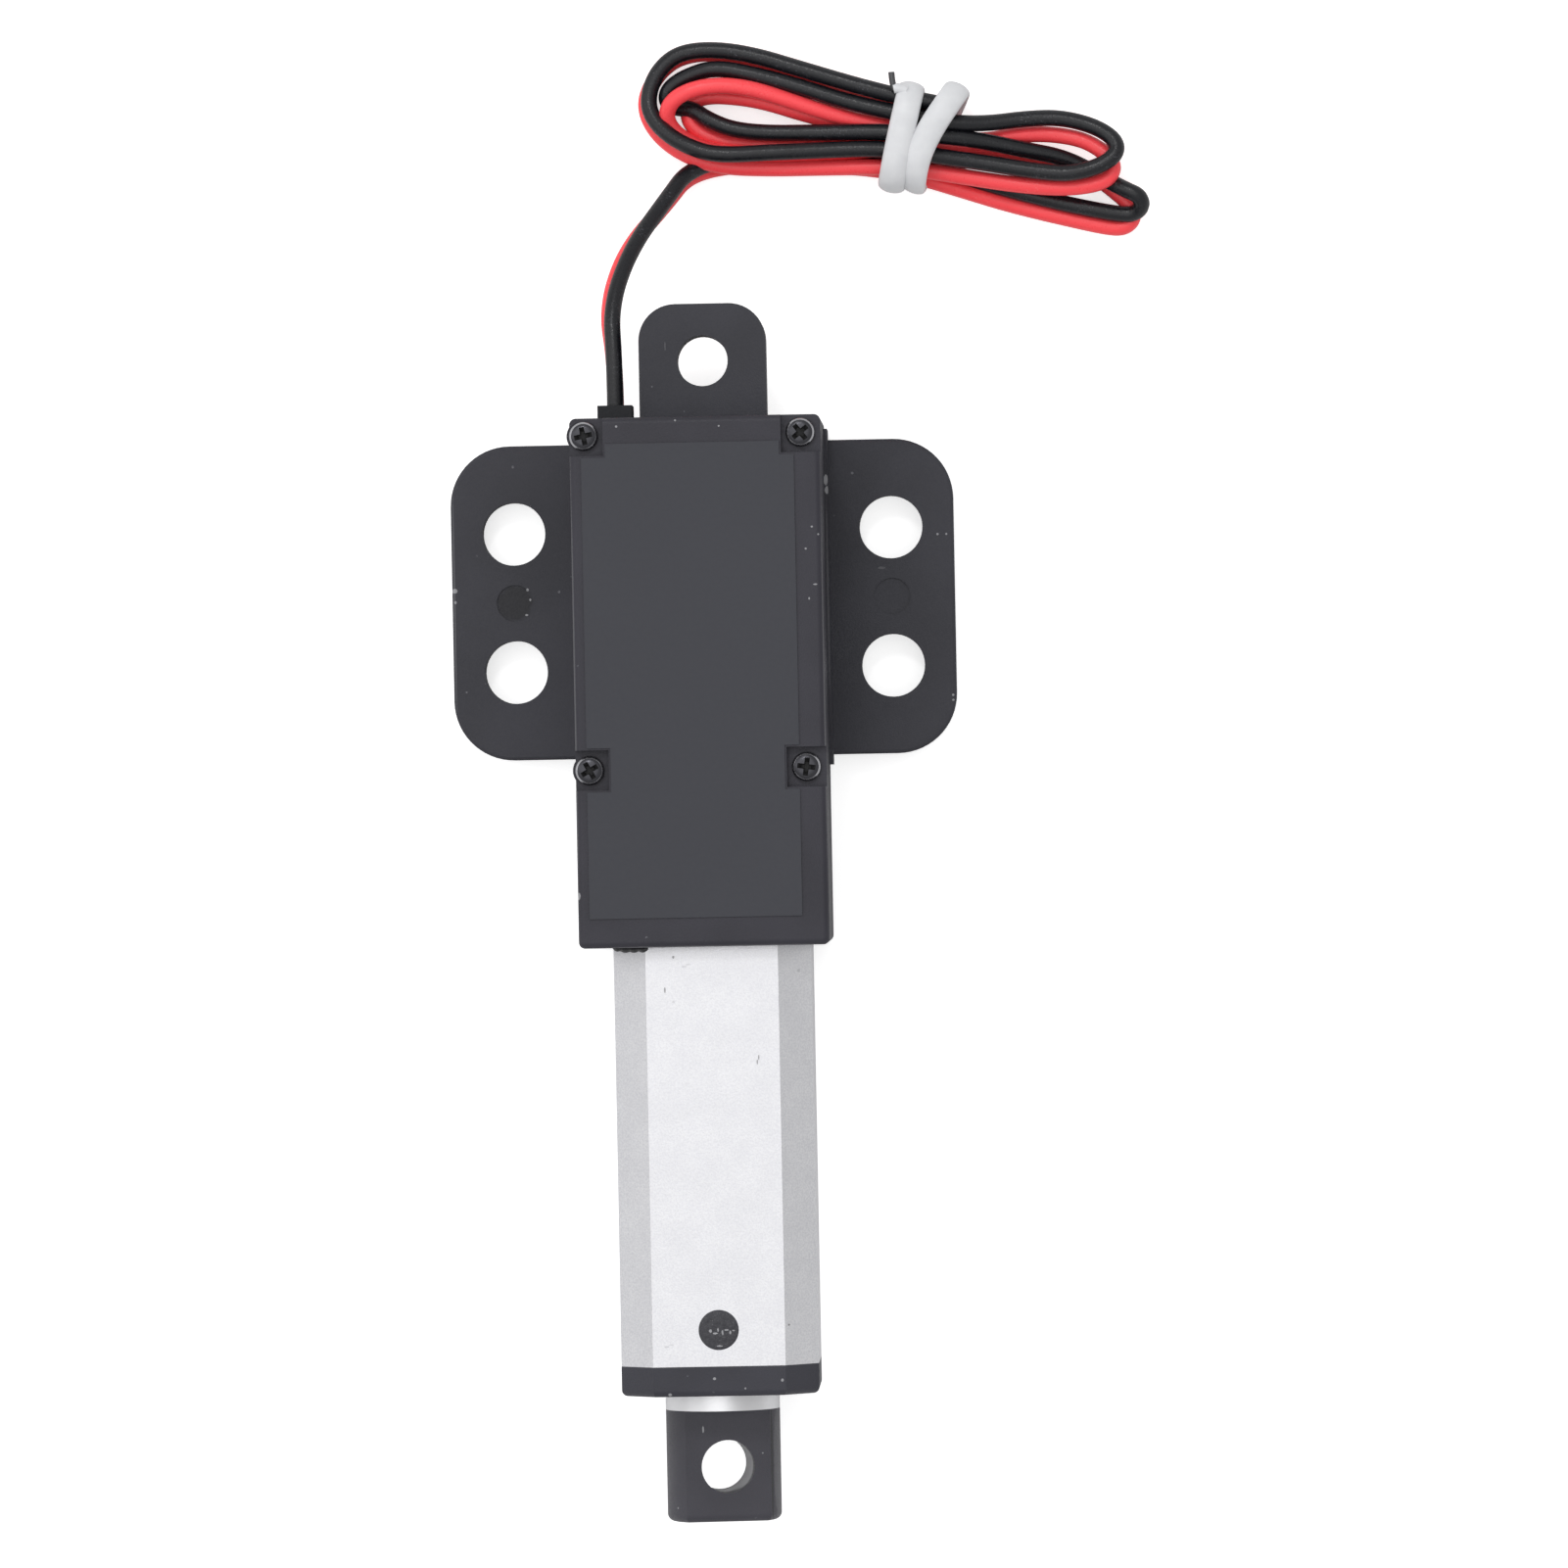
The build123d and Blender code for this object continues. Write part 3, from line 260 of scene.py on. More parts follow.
def tie_wrap(name, centre, half, slant, bow):
    """One wrap: an oval section taken round the hank, slanting, its upper face bowed."""
    turn = Matrix.Rotation(math.radians(slant), 3, "Z")
    rings = []
    for i in range(TIE_STATIONS):
        angle = 2 * math.pi * i / TIE_STATIONS
        across, up = squared(math.cos(angle)), squared(math.sin(angle))
        aside = -bow * (1 - across**2) * (1 - 0.5 * across) * max(0.0, up)
        middle = Vector((aside, across * half, up * TIE_RISE))
        outward = Vector((0.0, math.cos(angle), math.sin(angle))).normalized()
        ring = []
        for side in range(TIE_SIDES):
            around = 2 * math.pi * side / TIE_SIDES
            spread = Vector((math.cos(around) * TIE_WIDE / 2, 0.0, 0.0))
            ring.append(middle + spread + outward * math.sin(around) * TIE_THICK / 2)
        rings.append([turn @ place + Vector((*centre, TIE_UP)) for place in ring])
    return smooth(closed_tube(name, rings), TIE_SOFT_EDGE)


def make_lead():
    """Both wires and the tie, grouped by the name of their finish."""
    black, black_path = wire("black_wire", BLACK_FREE + BLACK_TURNS)
    red, red_path = wire("red_wire", RED_FREE + RED_TURNS)
    wraps = [tie_wrap(f"tie_wrap_{i + 1}", *sizes) for i, sizes in enumerate(TIE_WRAPS)]
    wraps.append(tube("tie_sheath_end", SHEATH_END, SHEATH))
    core = tube("tie_core_tip", CORE_WIRE, CORE)
    turn = tube("red_inner_turn", RED_INNER_TURN, WIRE)
    slots = {
        "wire_black": [black], "wire_red": [red, turn], "tie_white": wraps, "bearing_steel": [core],
    }
    for slot, pieces in slots.items():
        for piece in pieces:
            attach(piece, "housing")
    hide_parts("black_lead", "lead_hank")
    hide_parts("red_lead")
    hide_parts("hank_tie")
    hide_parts("tie_core_wire")
    cords = (
        (black, BLACK_FREE, black_path, [*wraps, core]), (red, RED_FREE, red_path, [turn]),
    )
    for piece, route, path, others in cords:
        [c * MM for c in route[0]]
    return {"black_wire": [black], "red_wire": [red, turn], "tie": wraps, "core": [core]}


# Materials


class Value:
    """A socket of a material, on which Python's operators become Math nodes."""

    def __init__(self, finish, socket):
        self.finish = finish
        self.socket = socket

    def _with(self, operation, *others):
        values = [self, *others]
        return self.finish.node("ShaderNodeMath", {"operation": operation}, *values).value()

    def __add__(self, other):
        return self._with("ADD", other)

    def __mul__(self, other):
        return self._with("MULTIPLY", other)

    def __sub__(self, other):
        return self._with("SUBTRACT", other)

    def __lt__(self, other):
        return self._with("LESS_THAN", other)

    def smallest(self, other):
        return self._with("MINIMUM", other)


class Node:
    """A shader node. Its outputs are read as values."""

    def __init__(self, finish, node):
        self.finish = finish
        self.node = node

    def value(self, name=0):
        return Value(self.finish, self.node.outputs[name])


# A speck's radius, as a share of the distance between specks
SPECK_RADIUS = 0.22
# Where a mark ends and where it is full, as shares of its half sizes
MARK_END = 1.12
MARK_FULL = 0.88
# The grain that makes a mark's edge uneven, as a multiple of the mark's smallest half size, which
# counts as MARK_LEAST where it is less
MARK_GRAIN = 1.2
MARK_LEAST = 0.12
# The sockets of a Mix node that carry the share and the colours
MIX_SHARE = 0
MIX_FIRST = 6
MIX_SECOND = 7
MIX_COLOUR = 2


class Finish:
    """One material. Patterns read Object coordinates in millimetres."""

    def __init__(self, name, colour, roughness, metallic=0.0, **sockets):
        self.material = bpy.data.materials.new(name)
        self.material.use_nodes = True
        self.tree = self.material.node_tree
        self.shader = self.tree.nodes["Principled BSDF"]
        self.set("Base Color", colour)
        self.set("Roughness", roughness)
        self.set("Metallic", metallic)
        for socket, value in sockets.items():
            self.set(socket.replace("_", " "), value)
        place = self.node("ShaderNodeTexCoord").value("Object")
        scaled = self.node("ShaderNodeVectorMath", {"operation": "SCALE"}, place, Scale=1 / MM)
        self.place = scaled.value()

    def plug(self, socket, value):
        if isinstance(value, Value):
            self.tree.links.new(value.socket, socket)
        elif hasattr(value, "__len__") and len(value) == 3 and socket.type == "RGBA":
            socket.default_value = (*value, 1.0)
        else:
            socket.default_value = value

    def set(self, name, value):
        self.plug(self.shader.inputs[name], value)

    def node(self, kind, settings=None, *values, **named):
        """A node of that kind, its settings made first, then its sockets in order or by name."""
        made = self.tree.nodes.new(kind)
        for key, setting in (settings or {}).items():
            setattr(made, key, setting)
        for i, value in enumerate(values):
            self.plug(made.inputs[i], value)
        for key, value in named.items():
            self.plug(made.inputs[key.replace("_", " ")], value)
        return Node(self, made)

    def stretched(self, scale):
        return self.node("ShaderNodeMapping", {}, self.place, Scale=scale).value()

    def grain(self, size, detail=3.0, roughness=0.55, stretch=(1.0, 1.0, 1.0)):
        """Noise whose grains are about size millimetres."""
        at = self.stretched([s / size for s in stretch])
        sockets = {"Vector": at, "Scale": 1.0, "Detail": detail, "Roughness": roughness}
        return self.node("ShaderNodeTexNoise", **sockets).value("Fac")

    def specks(self, apart, share):
        """Scattered small dots at a share of the places: 1 in a dot and 0 elsewhere."""
        at = self.stretched([1.0 / apart] * 3)
        cells = self.node("ShaderNodeTexVoronoi", {"feature": "F1"}, Vector=at, Scale=1.0)
        dot = cells.value("Distance") < SPECK_RADIUS
        colour = self.node("ShaderNodeSeparateColor", {}, cells.value("Color"))
        return dot * (colour.value("Red") < share)

    def vector(self, operation, *values):
        return self.node("ShaderNodeVectorMath", {"operation": operation}, *values)

    def mark(self, centre, radii, ragged):
        """1 in a ragged oval patch round a place and 0 outside."""
        away = self.vector("SUBTRACT", self.place, centre).value()
        share = self.vector("DIVIDE", away, radii).value()
        away = self.vector("LENGTH", share).value("Value")
        edge = self.grain(max(min(radii), MARK_LEAST) * MARK_GRAIN, 2.0)
        return self.ramp(away + (edge - 0.5) * ragged, MARK_END, MARK_FULL)

    def marks(self, places, ragged=0.6):
        """1 in any of the patches."""
        total = 0.0
        for centre, radii in places:
            total = self.mark(centre, radii, ragged) + total
        return total.smallest(1.0)

    def ramp(self, value, low, high, start=0.0, end=1.0):
        """Rises smoothly from start to end as value goes from low to high."""
        return self.node(
            "ShaderNodeMapRange", {"interpolation_type": "SMOOTHSTEP"}, value, low, high, start, end
        ).value()

    def mix(self, share, first, second):
        """A colour between two."""
        made = self.node("ShaderNodeMix", {"data_type": "RGBA"})
        for socket, value in ((MIX_SHARE, share), (MIX_FIRST, first), (MIX_SECOND, second)):
            self.plug(made.node.inputs[socket], value)
        return made.value(MIX_COLOUR)

    def bump(self, height, depth):
        """Feeds the shader a surface whose height varies by depth millimetres."""
        made = self.node("ShaderNodeBump", {}, Strength=1.0, Distance=depth * MM, Height=height)
        self.set("Normal", made.value())


def srgb(*levels):
    """The colour that shows as these levels from 0 to 255."""
    return tuple(
        c / 12.92 if c <= 0.04045 else ((c + 0.055) / 1.055) ** 2.4 for c in (v / 255 for v in levels)
    )


def spots(height, *marks, deep=1.0):
    """Marks at one height, each as X, Y and its half sizes along X and Y. deep is half its height."""
    return [((x, y, height), (wide, long, deep)) for x, y, wide, long in marks]


# Scuffs and flecks of wear, and some painted highlights, painted shade and painted light where noted.
# Those that are DEEP show all the way down an edge. Not all those on the rear eye and the rod end
# have the height of the face, but each is tall enough to reach it

DEEP = 9.0
SHELL_FLECKS = (
    spots(WING_TOP, (-20.3, -17.6, 0.22, 0.18), (-20.25, -18.5, 0.1, 0.12), deep=DEEP)
    + spots(
        WING_TOP, (18.2, -13.8, 0.09, 0.09), (18.9, -13.8, 0.08, 0.08), (19.2, -26.6, 0.09, 0.09),
        (19.2, -27.0, 0.1, 0.08), (-14.5, -17.6, 0.1, 0.12), (-14.3, -18.4, 0.08, 0.1),
        (-14.6, -19.6, 0.12, 0.08),
    )
    + spots(WING_ROOT_TOP, (9.45, -9.4, 0.16, 0.42), (9.55, -10.2, 0.2, 0.3), deep=1.2)
)
# The two long lines, along the edge of the strip beside the cover's right side and along the left
# wing's outer edge, are painted highlights where those edges catch the light.
SHELL_SCRAPES_AND_HIGHLIGHTS = (
    spots(WING_ROOT_TOP, (9.45, -18.5, 0.07, 7.4), deep=0.6)
    + spots(WING_TOP, (-20.32, -18.5, 0.07, 8.5), deep=DEEP)
    + spots(WING_TOP, (13.7, -16.4, 0.3, 0.1))
    + spots(-5.0, (-2.9, 1.2, 0.08, 0.5), deep=DEEP)
)
EJECTOR_DISC = spots(WING_TOP, (-15.5, -18.62, 1.36, 1.36))
COVER_FLECKS = spots(
    COVER_TOP, (8.0, -15.1, 0.08, 0.08), (9.0, -14.0, 0.07, 0.07), (8.5, -13.4, 0.09, 0.07),
    (8.7, -17.9, 0.16, 0.06), (-6.6, -5.3, 0.09, 0.09), (-2.0, -4.9, 0.08, 0.08),
    (1.4, -5.4, 0.07, 0.07), (8.2, -19.0, 0.06, 0.1),
) + spots(COVER_TOP - 0.2, (-10.25, -41.9, 0.16, 0.3), deep=0.6)
# The two long lines along the cover's left and right top edges are painted highlights where the
# rounded edges catch the light.
COVER_SCRAPES_AND_HIGHLIGHTS = (
    spots(COVER_TOP - 0.1, (-10.25, -26.0, 0.09, 17.0), (9.25, -26.0, 0.07, 16.0), deep=0.3)
    + spots(COVER_TOP - 0.5, (0.0, -45.95, 8.5, 0.06))
)
CAP_FLECKS = spots(BARREL_TOP - 1.75, (-3.9, -81.0, 0.14, 0.12), deep=DEEP) + spots(
    BARREL_TOP - 0.05, (-0.4, -79.8, 0.12, 0.1), (4.9, -80.0, 0.1, 0.12), (2.0, -80.6, 0.07, 0.07),
)
ROD_END_FLECKS = spots(
    4.3, (-1.5, -84.0, 0.08, 0.32), (3.15, -86.0, 0.12, 0.1), (-3.6, -90.2, 0.1, 0.1), deep=2.0,
)
# A line of painted shade where the rod end's flat face turns into its rounded side.
ROD_END_EDGE_SHADE = spots(3.0, (3.86, -87.0, 0.1, 4.6), deep=3.0)
# A painted highlight down the rounded right side of the rod end.
ROD_END_SIDE_HIGHLIGHT = spots(2.0, (4.35, -87.0, 0.35, 4.6), deep=4.0)
# Painted light on the wall of the rod end's hole.
ROD_END_HOLE_WALL_LIGHT = spots(-0.5, (0.3, -87.1, 2.3, 2.3), deep=3.9)
BARREL_DOTS = spots(
    BARREL_TOP, (-3.0, -46.8, 0.09, 0.11), (-3.7, -49.35, 0.06, 0.24), (3.42, -55.1, 0.05, 0.2),
    (3.54, -54.75, 0.05, 0.2),
) + spots(BARREL_TOP - 0.15, (5.5, -75.7, 0.08, 0.09))
BARREL_SMUDGES = spots(
    BARREL_TOP, (-2.15, -47.55, 0.22, 0.07), (-1.85, -47.4, 0.2, 0.05), (-3.05, -50.3, 0.1, 0.1),
    (-4.1, -77.25, 0.2, 0.08), (-3.7, -77.1, 0.18, 0.06),
) + spots(BARREL_TOP - 1.05, (6.77, -48.05, 0.14, 0.18))
# Pale squiggles painted on the melted lug as highlights of its glossy surface.
LUG_SQUIGGLE_HIGHLIGHTS = spots(
    BARREL_TOP + 0.05, (-0.65, -76.05, 0.1, 0.16), (-0.3, -76.25, 0.2, 0.07),
    (-0.05, -76.0, 0.06, 0.17), (0.3, -76.2, 0.07, 0.2), (0.6, -76.0, 0.17, 0.06),
    (0.9, -76.2, 0.07, 0.14), (1.15, -76.05, 0.12, 0.05), (0.05, -77.25, 0.2, 0.06),
)
# Each kind of mark: its grey level, and how strongly it covers the plastic
# Besides wear, pale marks paint light on a hole's wall, a dark mark paints shade along an edge, and
# long scraped lines paint highlights along edges.
MARK_TONES = {"pale": (215, 0.7), "dark": (24, 0.7), "scrapes": (120, 0.3), "flecks": (190, 0.5)}
PLASTIC_SHINE = 0.35
# The size of the flow clouds in the plastic
CLOUD_SIZE = 9.0
# How far apart the places for specks of dust are, the share of them that have one, and the size of
# the patches that the dust keeps to
DUST_APART = 0.5
DUST_SHARE = 0.02
DUST_PATCH = 0.9


def moulded(name, shade, roughness, grain=0.12, depth=0.02, **marks):
    """Black moulded plastic: fine grain, faint flow clouds, dust and its own marks, some of them
    painted highlights, shade and light.
    """
    finish = Finish(name, shade, roughness, Specular_IOR_Level=PLASTIC_SHINE)
    fine = finish.grain(grain)
    cloud = finish.grain(CLOUD_SIZE, 2.0)
    worn = [c * 1.4 + 0.003 for c in shade]
    deep = [c * 0.75 for c in shade]
    colour = finish.mix(finish.ramp(cloud, 0.3, 0.7, 0.3, 0.7), deep, worn)
    patch = finish.ramp(finish.grain(DUST_PATCH), 0.5, 0.62)
    dust = finish.specks(DUST_APART, DUST_SHARE) * patch
    colour = finish.mix(dust * 0.5, colour, srgb(120, 120, 126))
    for kind, (tone, share) in MARK_TONES.items():
        if kind in marks:
            cover = finish.marks(marks[kind]) * share
            colour = finish.mix(cover, colour, srgb(tone, tone, tone + 3))
    finish.set("Base Color", colour)
    finish.set("Roughness", finish.ramp(fine, 0.25, 0.75, roughness - 0.07, roughness + 0.07))
    finish.bump(fine, depth)
    return finish


def plain_metal(name, shade, roughness, grain=0.2, stretch=(1, 1, 1), depth=0.004):
    """Bare metal with an uneven sheen. A stretched grain looks drawn or turned."""
    finish = Finish(name, shade, roughness, 1.0)
    fine = finish.grain(grain, stretch=stretch)
    finish.set("Roughness", finish.ramp(fine, 0.3, 0.7, roughness - 0.05, roughness + 0.08))
    finish.bump(fine, depth)
    return finish


def insulation(name, shade, pale):
    """Soft wire insulation: slightly uneven sheen, and pale patches along it that are partly scuffs
    and partly painted light.
    """
    finish = Finish(name, shade, 0.32, Specular_IOR_Level=0.4)
    cloud = finish.grain(2.4, 3.0)
    fine = finish.grain(0.16, 4.0)
    rubbed_and_lit = finish.ramp(fine, 0.56, 0.72) * finish.ramp(cloud, 0.48, 0.66)
    finish.set("Base Color", finish.mix(rubbed_and_lit * 0.75, shade, pale))
    finish.set("Roughness", finish.ramp(fine, 0.3, 0.7, 0.26, 0.42))
    finish.bump(fine, 0.02)
    return finish


def even(name, shade, roughness, grain, depth, **sockets):
    """One colour over a fine uneven surface."""
    finish = Finish(name, shade, roughness, **sockets)
    finish.bump(finish.grain(grain), depth)
    return finish


def label_film():
    """The smooth dark film of the blank label, very slightly clouded."""
    film = Finish("label_film", srgb(49, 50, 56), 0.42, Specular_IOR_Level=PLASTIC_SHINE)
    fine = film.grain(0.3, 2.0)
    film.set("Roughness", film.ramp(fine, 0.3, 0.7, 0.38, 0.46))
    film.set("Base Color", film.mix(film.grain(14.0, 1.0), srgb(48, 49, 56), srgb(51, 52, 59)))
    film.bump(fine, 0.004)
    return film


def anodised():
    """The barrel's satin aluminium, with fine grain, faint blotches, smudges and dark dots."""
    alloy = Finish("anodised_aluminium", srgb(217, 217, 220), 0.48, 0.9)
    fine = alloy.grain(0.15, 4.0)
    blotch = alloy.grain(2.6, 3.0)
    colour = alloy.mix(alloy.ramp(fine, 0.3, 0.7), srgb(210, 210, 214), srgb(229, 229, 231))
    blotched = alloy.ramp(blotch, 0.35, 0.65, 0.0, 0.12)
    colour = alloy.mix(blotched, colour, srgb(190, 190, 196))
    colour = alloy.mix(alloy.marks(BARREL_SMUDGES) * 0.25, colour, srgb(120, 120, 124))
    colour = alloy.mix(alloy.marks(BARREL_DOTS) * 0.65, colour, srgb(84, 82, 82))
    alloy.set("Base Color", colour)
    alloy.set("Roughness", alloy.ramp(fine, 0.3, 0.7, 0.42, 0.56))
    alloy.bump(fine, 0.012)
    return alloy


def tie_plastic():
    """The tie's white coating, softly clouded and uneven."""
    tie = Finish("tie_white", srgb(216, 217, 219), 0.4)
    cloud = tie.grain(1.2, 3.0)
    tie.set("Base Color", tie.mix(cloud, srgb(206, 207, 210), srgb(224, 225, 227)))
    tie.bump(cloud, 0.05)
    return tie


def melted_plastic():
    """Plastic that was melted over: lumpy, part glossy, with pale squiggles of painted highlight."""
    melted = Finish("melted_plastic", srgb(40, 40, 45), 0.3)
    rough = melted.grain(0.35, 5.0, 0.65)
    squiggle_highlight = melted.marks(LUG_SQUIGGLE_HIGHLIGHTS, 1.4)
    melted.set("Base Color", melted.mix(squiggle_highlight * 0.6, srgb(48, 48, 54), srgb(190, 190, 194)))
    melted.set("Roughness", melted.ramp(rough, 0.35, 0.65, 0.22, 0.5))
    melted.bump(rough, 0.12)
    return melted


def make_finishes():
    return {
        "housing": moulded(
            "housing_plastic", srgb(43, 42, 50), 0.5, flecks=COVER_FLECKS, scrapes=COVER_SCRAPES_AND_HIGHLIGHTS
        ),
        "shell": moulded(
            "shell_plastic", srgb(45, 45, 52), 0.52,
            flecks=SHELL_FLECKS, scrapes=SHELL_SCRAPES_AND_HIGHLIGHTS, dark=EJECTOR_DISC,
        ),
        "cap": moulded("cap_plastic", srgb(48, 48, 56), 0.46, 0.1, 0.03, flecks=CAP_FLECKS),
        "rod_end": moulded(
            "rod_end_plastic", srgb(58, 57, 64), 0.44, 0.1, 0.03, flecks=ROD_END_FLECKS,
            scrapes=ROD_END_SIDE_HIGHLIGHT, dark=ROD_END_EDGE_SHADE, pale=ROD_END_HOLE_WALL_LIGHT,
        ),
        "plastic": moulded("inner_plastic", srgb(46, 46, 52), 0.5),
        "label": label_film(),
        "alloy": anodised(),
        "rod": plain_metal("rod_aluminium", srgb(228, 228, 230), 0.36, 0.18, (1.0, 3.0, 1.0), 0.006),
        "steel": plain_metal("bearing_steel", srgb(196, 196, 200), 0.25),
        "can": plain_metal("motor_steel", srgb(186, 187, 190), 0.34),
        "dark_steel": plain_metal("screw_steel", srgb(70, 70, 74), 0.34, 0.15),
        "bright_rim_steel": plain_metal("screw_rim", srgb(176, 176, 180), 0.3, 0.12),
        # The near-black finish of the screws' cross recesses is painted shade.
        "recess": Finish("screw_recess_painted_shade", srgb(14, 14, 16), 0.7),
        "core": plain_metal("tie_core", srgb(96, 96, 98), 0.5, 0.15),
        "brass": plain_metal("brass_part", srgb(205, 172, 106), 0.3),
        "acetal": even("white_acetal", srgb(228, 228, 222), 0.45, 0.3, 0.006),
        "board": even("circuit_board", srgb(34, 92, 52), 0.3, 0.2, 0.004),
        "rubber": even("seal_rubber", srgb(30, 31, 35), 0.6, 0.2, 0.02, Specular_IOR_Level=0.3),
        "sealant": even("sealant", srgb(30, 30, 33), 0.35, 0.3, 0.05),
        "black_wire": insulation("wire_black", srgb(18, 19, 24), srgb(92, 93, 100)),
        "red_wire": insulation("wire_red", srgb(253, 73, 80), srgb(254, 124, 126)),
        "tie": tie_plastic(),
        "melted": melted_plastic(),
    }


NODE_FINISH = {
    "shell": ["back_shell"],
    "housing": ["front_cover"],
    "rod_end": ["rod_end"],
    "cap": ["end_cap"],
    "plastic": ["motor_end_bell", "limit_switches", "steering_diodes"],
    "label": ["blank_label"],
    "alloy": ["barrel_tube"],
    "rod": ["rod_tube"],
    "steel": [
        "bearing_outer_race", "bearing_inner_race", "bearing_shields", "gearbox_rear_plate",
        "gearbox_front_plate", "layshaft_pin", "motor_shaft", "tie_core_wire", "screw_clip",
        "lead_screw",
    ],
    "can": ["motor_can"],
    "dark_steel": ["cover_screws"],
    "brass": ["bearing_carrier", "gearbox_posts", "lead_nut", "motor_pinion", "motor_terminals"],
    "acetal": ["compound_gear", "output_gear", "nut_guide_ring"],
    "board": ["limit_switch_board"],
    "rubber": ["cable_grommet", "rod_wiper_seal"],
    "black_wire": ["lead_tails", "black_lead", "lead_hank"],
    "red_wire": ["red_lead"],
    "tie": ["hank_tie"],
}


def finish_piece(piece, finish):
    piece.data.materials.clear()
    piece.data.materials.append(finish.material)


# Cover screws: low domed heads, sunk a little into the cover

SCREW_PLACES = ((-9.2, -6.0), (7.73, -6.0), (-9.2, -32.1), (7.73, -32.1))
SCREW_TURNS = (12.0, 38.0, 30.0, -8.0)
SCREW_SEAT = COVER_TOP - 0.8
# The head's outline, out from its axis and up from its seat
SCREW_OUTLINE = (
    (0.0, 0.74), (0.35, 0.735), (0.62, 0.71), (0.82, 0.66), (0.96, 0.57), (1.02, 0.53),
    (1.1, 0.42), (1.14, 0.25), (1.08, 0.0), (0.72, 0.0), (0.72, -1.5), (0.0, -1.5),
)
SCREW_STEPS = 40
SCREW_SOFT_EDGE = 40.0
# The brighter metal rim is further out and higher than this
RIM_OUT = 0.94
RIM_UP = 0.45
# Each arm of the cross recess narrows downwards
CROSS_SIZE = (2.15, 0.5, 0.9)
CROSS_TAPER = (0.35, 0.55, 1.0)
CROSS_UP = 0.7


def cross_cutter(name, place, turn):
    """A tapered bar that cuts one arm of the cross recess."""
    shape = bmesh.new()
    bmesh.ops.create_cube(shape, size=1.0)
    bmesh.ops.scale(shape, vec=CROSS_SIZE, verts=shape.verts)
    low = [v for v in shape.verts if v.co.z < 0]
    bmesh.ops.scale(shape, vec=CROSS_TAPER, verts=low)
    spin = Matrix.Rotation(math.radians(turn), 3, "Z")
    bmesh.ops.rotate(shape, cent=(0, 0, 0), matrix=spin, verts=shape.verts)
    bmesh.ops.translate(shape, vec=(*place, SCREW_SEAT + CROSS_UP), verts=shape.verts)
    return piece_from(name, shape)


def screw_head(name, place, turn, steel, rim, recess):
    """A head with a brighter metal rim and a cross recess whose near-black finish is painted shade,
    and its short neck.
    """
    shape = bmesh.new()
    line = [shape.verts.new((across, 0.0, up)) for across, up in SCREW_OUTLINE]
    edges = [shape.edges.new(pair) for pair in zip(line, line[1:])]
    bmesh.ops.spin(
        shape, geom=line + edges, cent=(0, 0, 0), axis=(0, 0, 1), angle=2 * math.pi,
        steps=SCREW_STEPS, use_merge=True,
    )
    bmesh.ops.remove_doubles(shape, verts=shape.verts, dist=0.001)
    bmesh.ops.recalc_face_normals(shape, faces=shape.faces)
    for face in shape.faces:
        middle = face.calc_center_median()
        on_rim = math.hypot(middle.x, middle.y) > RIM_OUT and middle.z > RIM_UP
        face.material_index = int(on_rim)
    bmesh.ops.translate(shape, vec=(*place, SCREW_SEAT), verts=shape.verts)
    head = piece_from(name, shape)
    # Only appended: clearing the slots would reset the faces that carry the rim's finish
    for finish in (steel, rim):
        head.data.materials.append(finish.material)
    for across in (0.0, 90.0):
        cutter = cross_cutter("cutter", place, turn + across)
        # The cutter's near-black finish passes to the recess's faces as painted shade.
        finish_piece(cutter, recess)
        cut = head.modifiers.new("recess", "BOOLEAN")
        cut.object = cutter
        cut.operation = "DIFFERENCE"
        cut.solver = "EXACT"
        cut.material_mode = "TRANSFER"
        head = as_mesh(head)
        bpy.data.objects.remove(cutter)
    return smooth(head, SCREW_SOFT_EDGE)


def make_screws(finishes):
    metals = [finishes[name] for name in ("dark_steel", "bright_rim_steel", "recess")]
    for i, (place, turn) in enumerate(zip(SCREW_PLACES, SCREW_TURNS)):
        head = screw_head(f"cover_screw_{i + 1}", place, turn, *metals)
        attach(head, "housing")
        if i == 0:
            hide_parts("cover_screws")


# The cap's lugs, melted over in the barrel's wall

LUG_ALONG = -76.0
LUG_RADIUS = 1.54
LUG_UP = BARREL_TOP - 0.02
# The ball that makes a skin is flattened to this share
LUG_FLAT = 0.07
# The lumps of the skin: how close they are, and how high
LUG_LUMPS = ((2.1, 0.07), (5.3, 0.03))
LUG_SOFT_EDGE = 70.0


def melted_lug(name, side):
    """A thin uneven skin over one lug's end. Side is 1 above and -1 below."""
    shape = bmesh.new()
    bmesh.ops.create_icosphere(shape, subdivisions=5, radius=LUG_RADIUS)
    bmesh.ops.scale(shape, vec=(1.0, 1.0, LUG_FLAT), verts=shape.verts)
    for vert in shape.verts:
        out = math.hypot(vert.co.x, vert.co.y) / LUG_RADIUS
        lumps = sum(noise.noise(vert.co * close) * high for close, high in LUG_LUMPS)
        vert.co.z += lumps * max(0.0, 1.0 - out**4)
    bmesh.ops.translate(shape, vec=(0.0, LUG_ALONG, side * LUG_UP), verts=shape.verts)
    return smooth(piece_from(name, shape), LUG_SOFT_EDGE)


def make_lugs(finishes):
    for name, side in (("upper_lug_skin", 1), ("lower_lug_skin", -1)):
        skin = melted_lug(name, side)
        finish_piece(skin, finishes["melted"])
        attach(skin, "housing")


# The bead of sealant squeezed out between the housing and the barrel

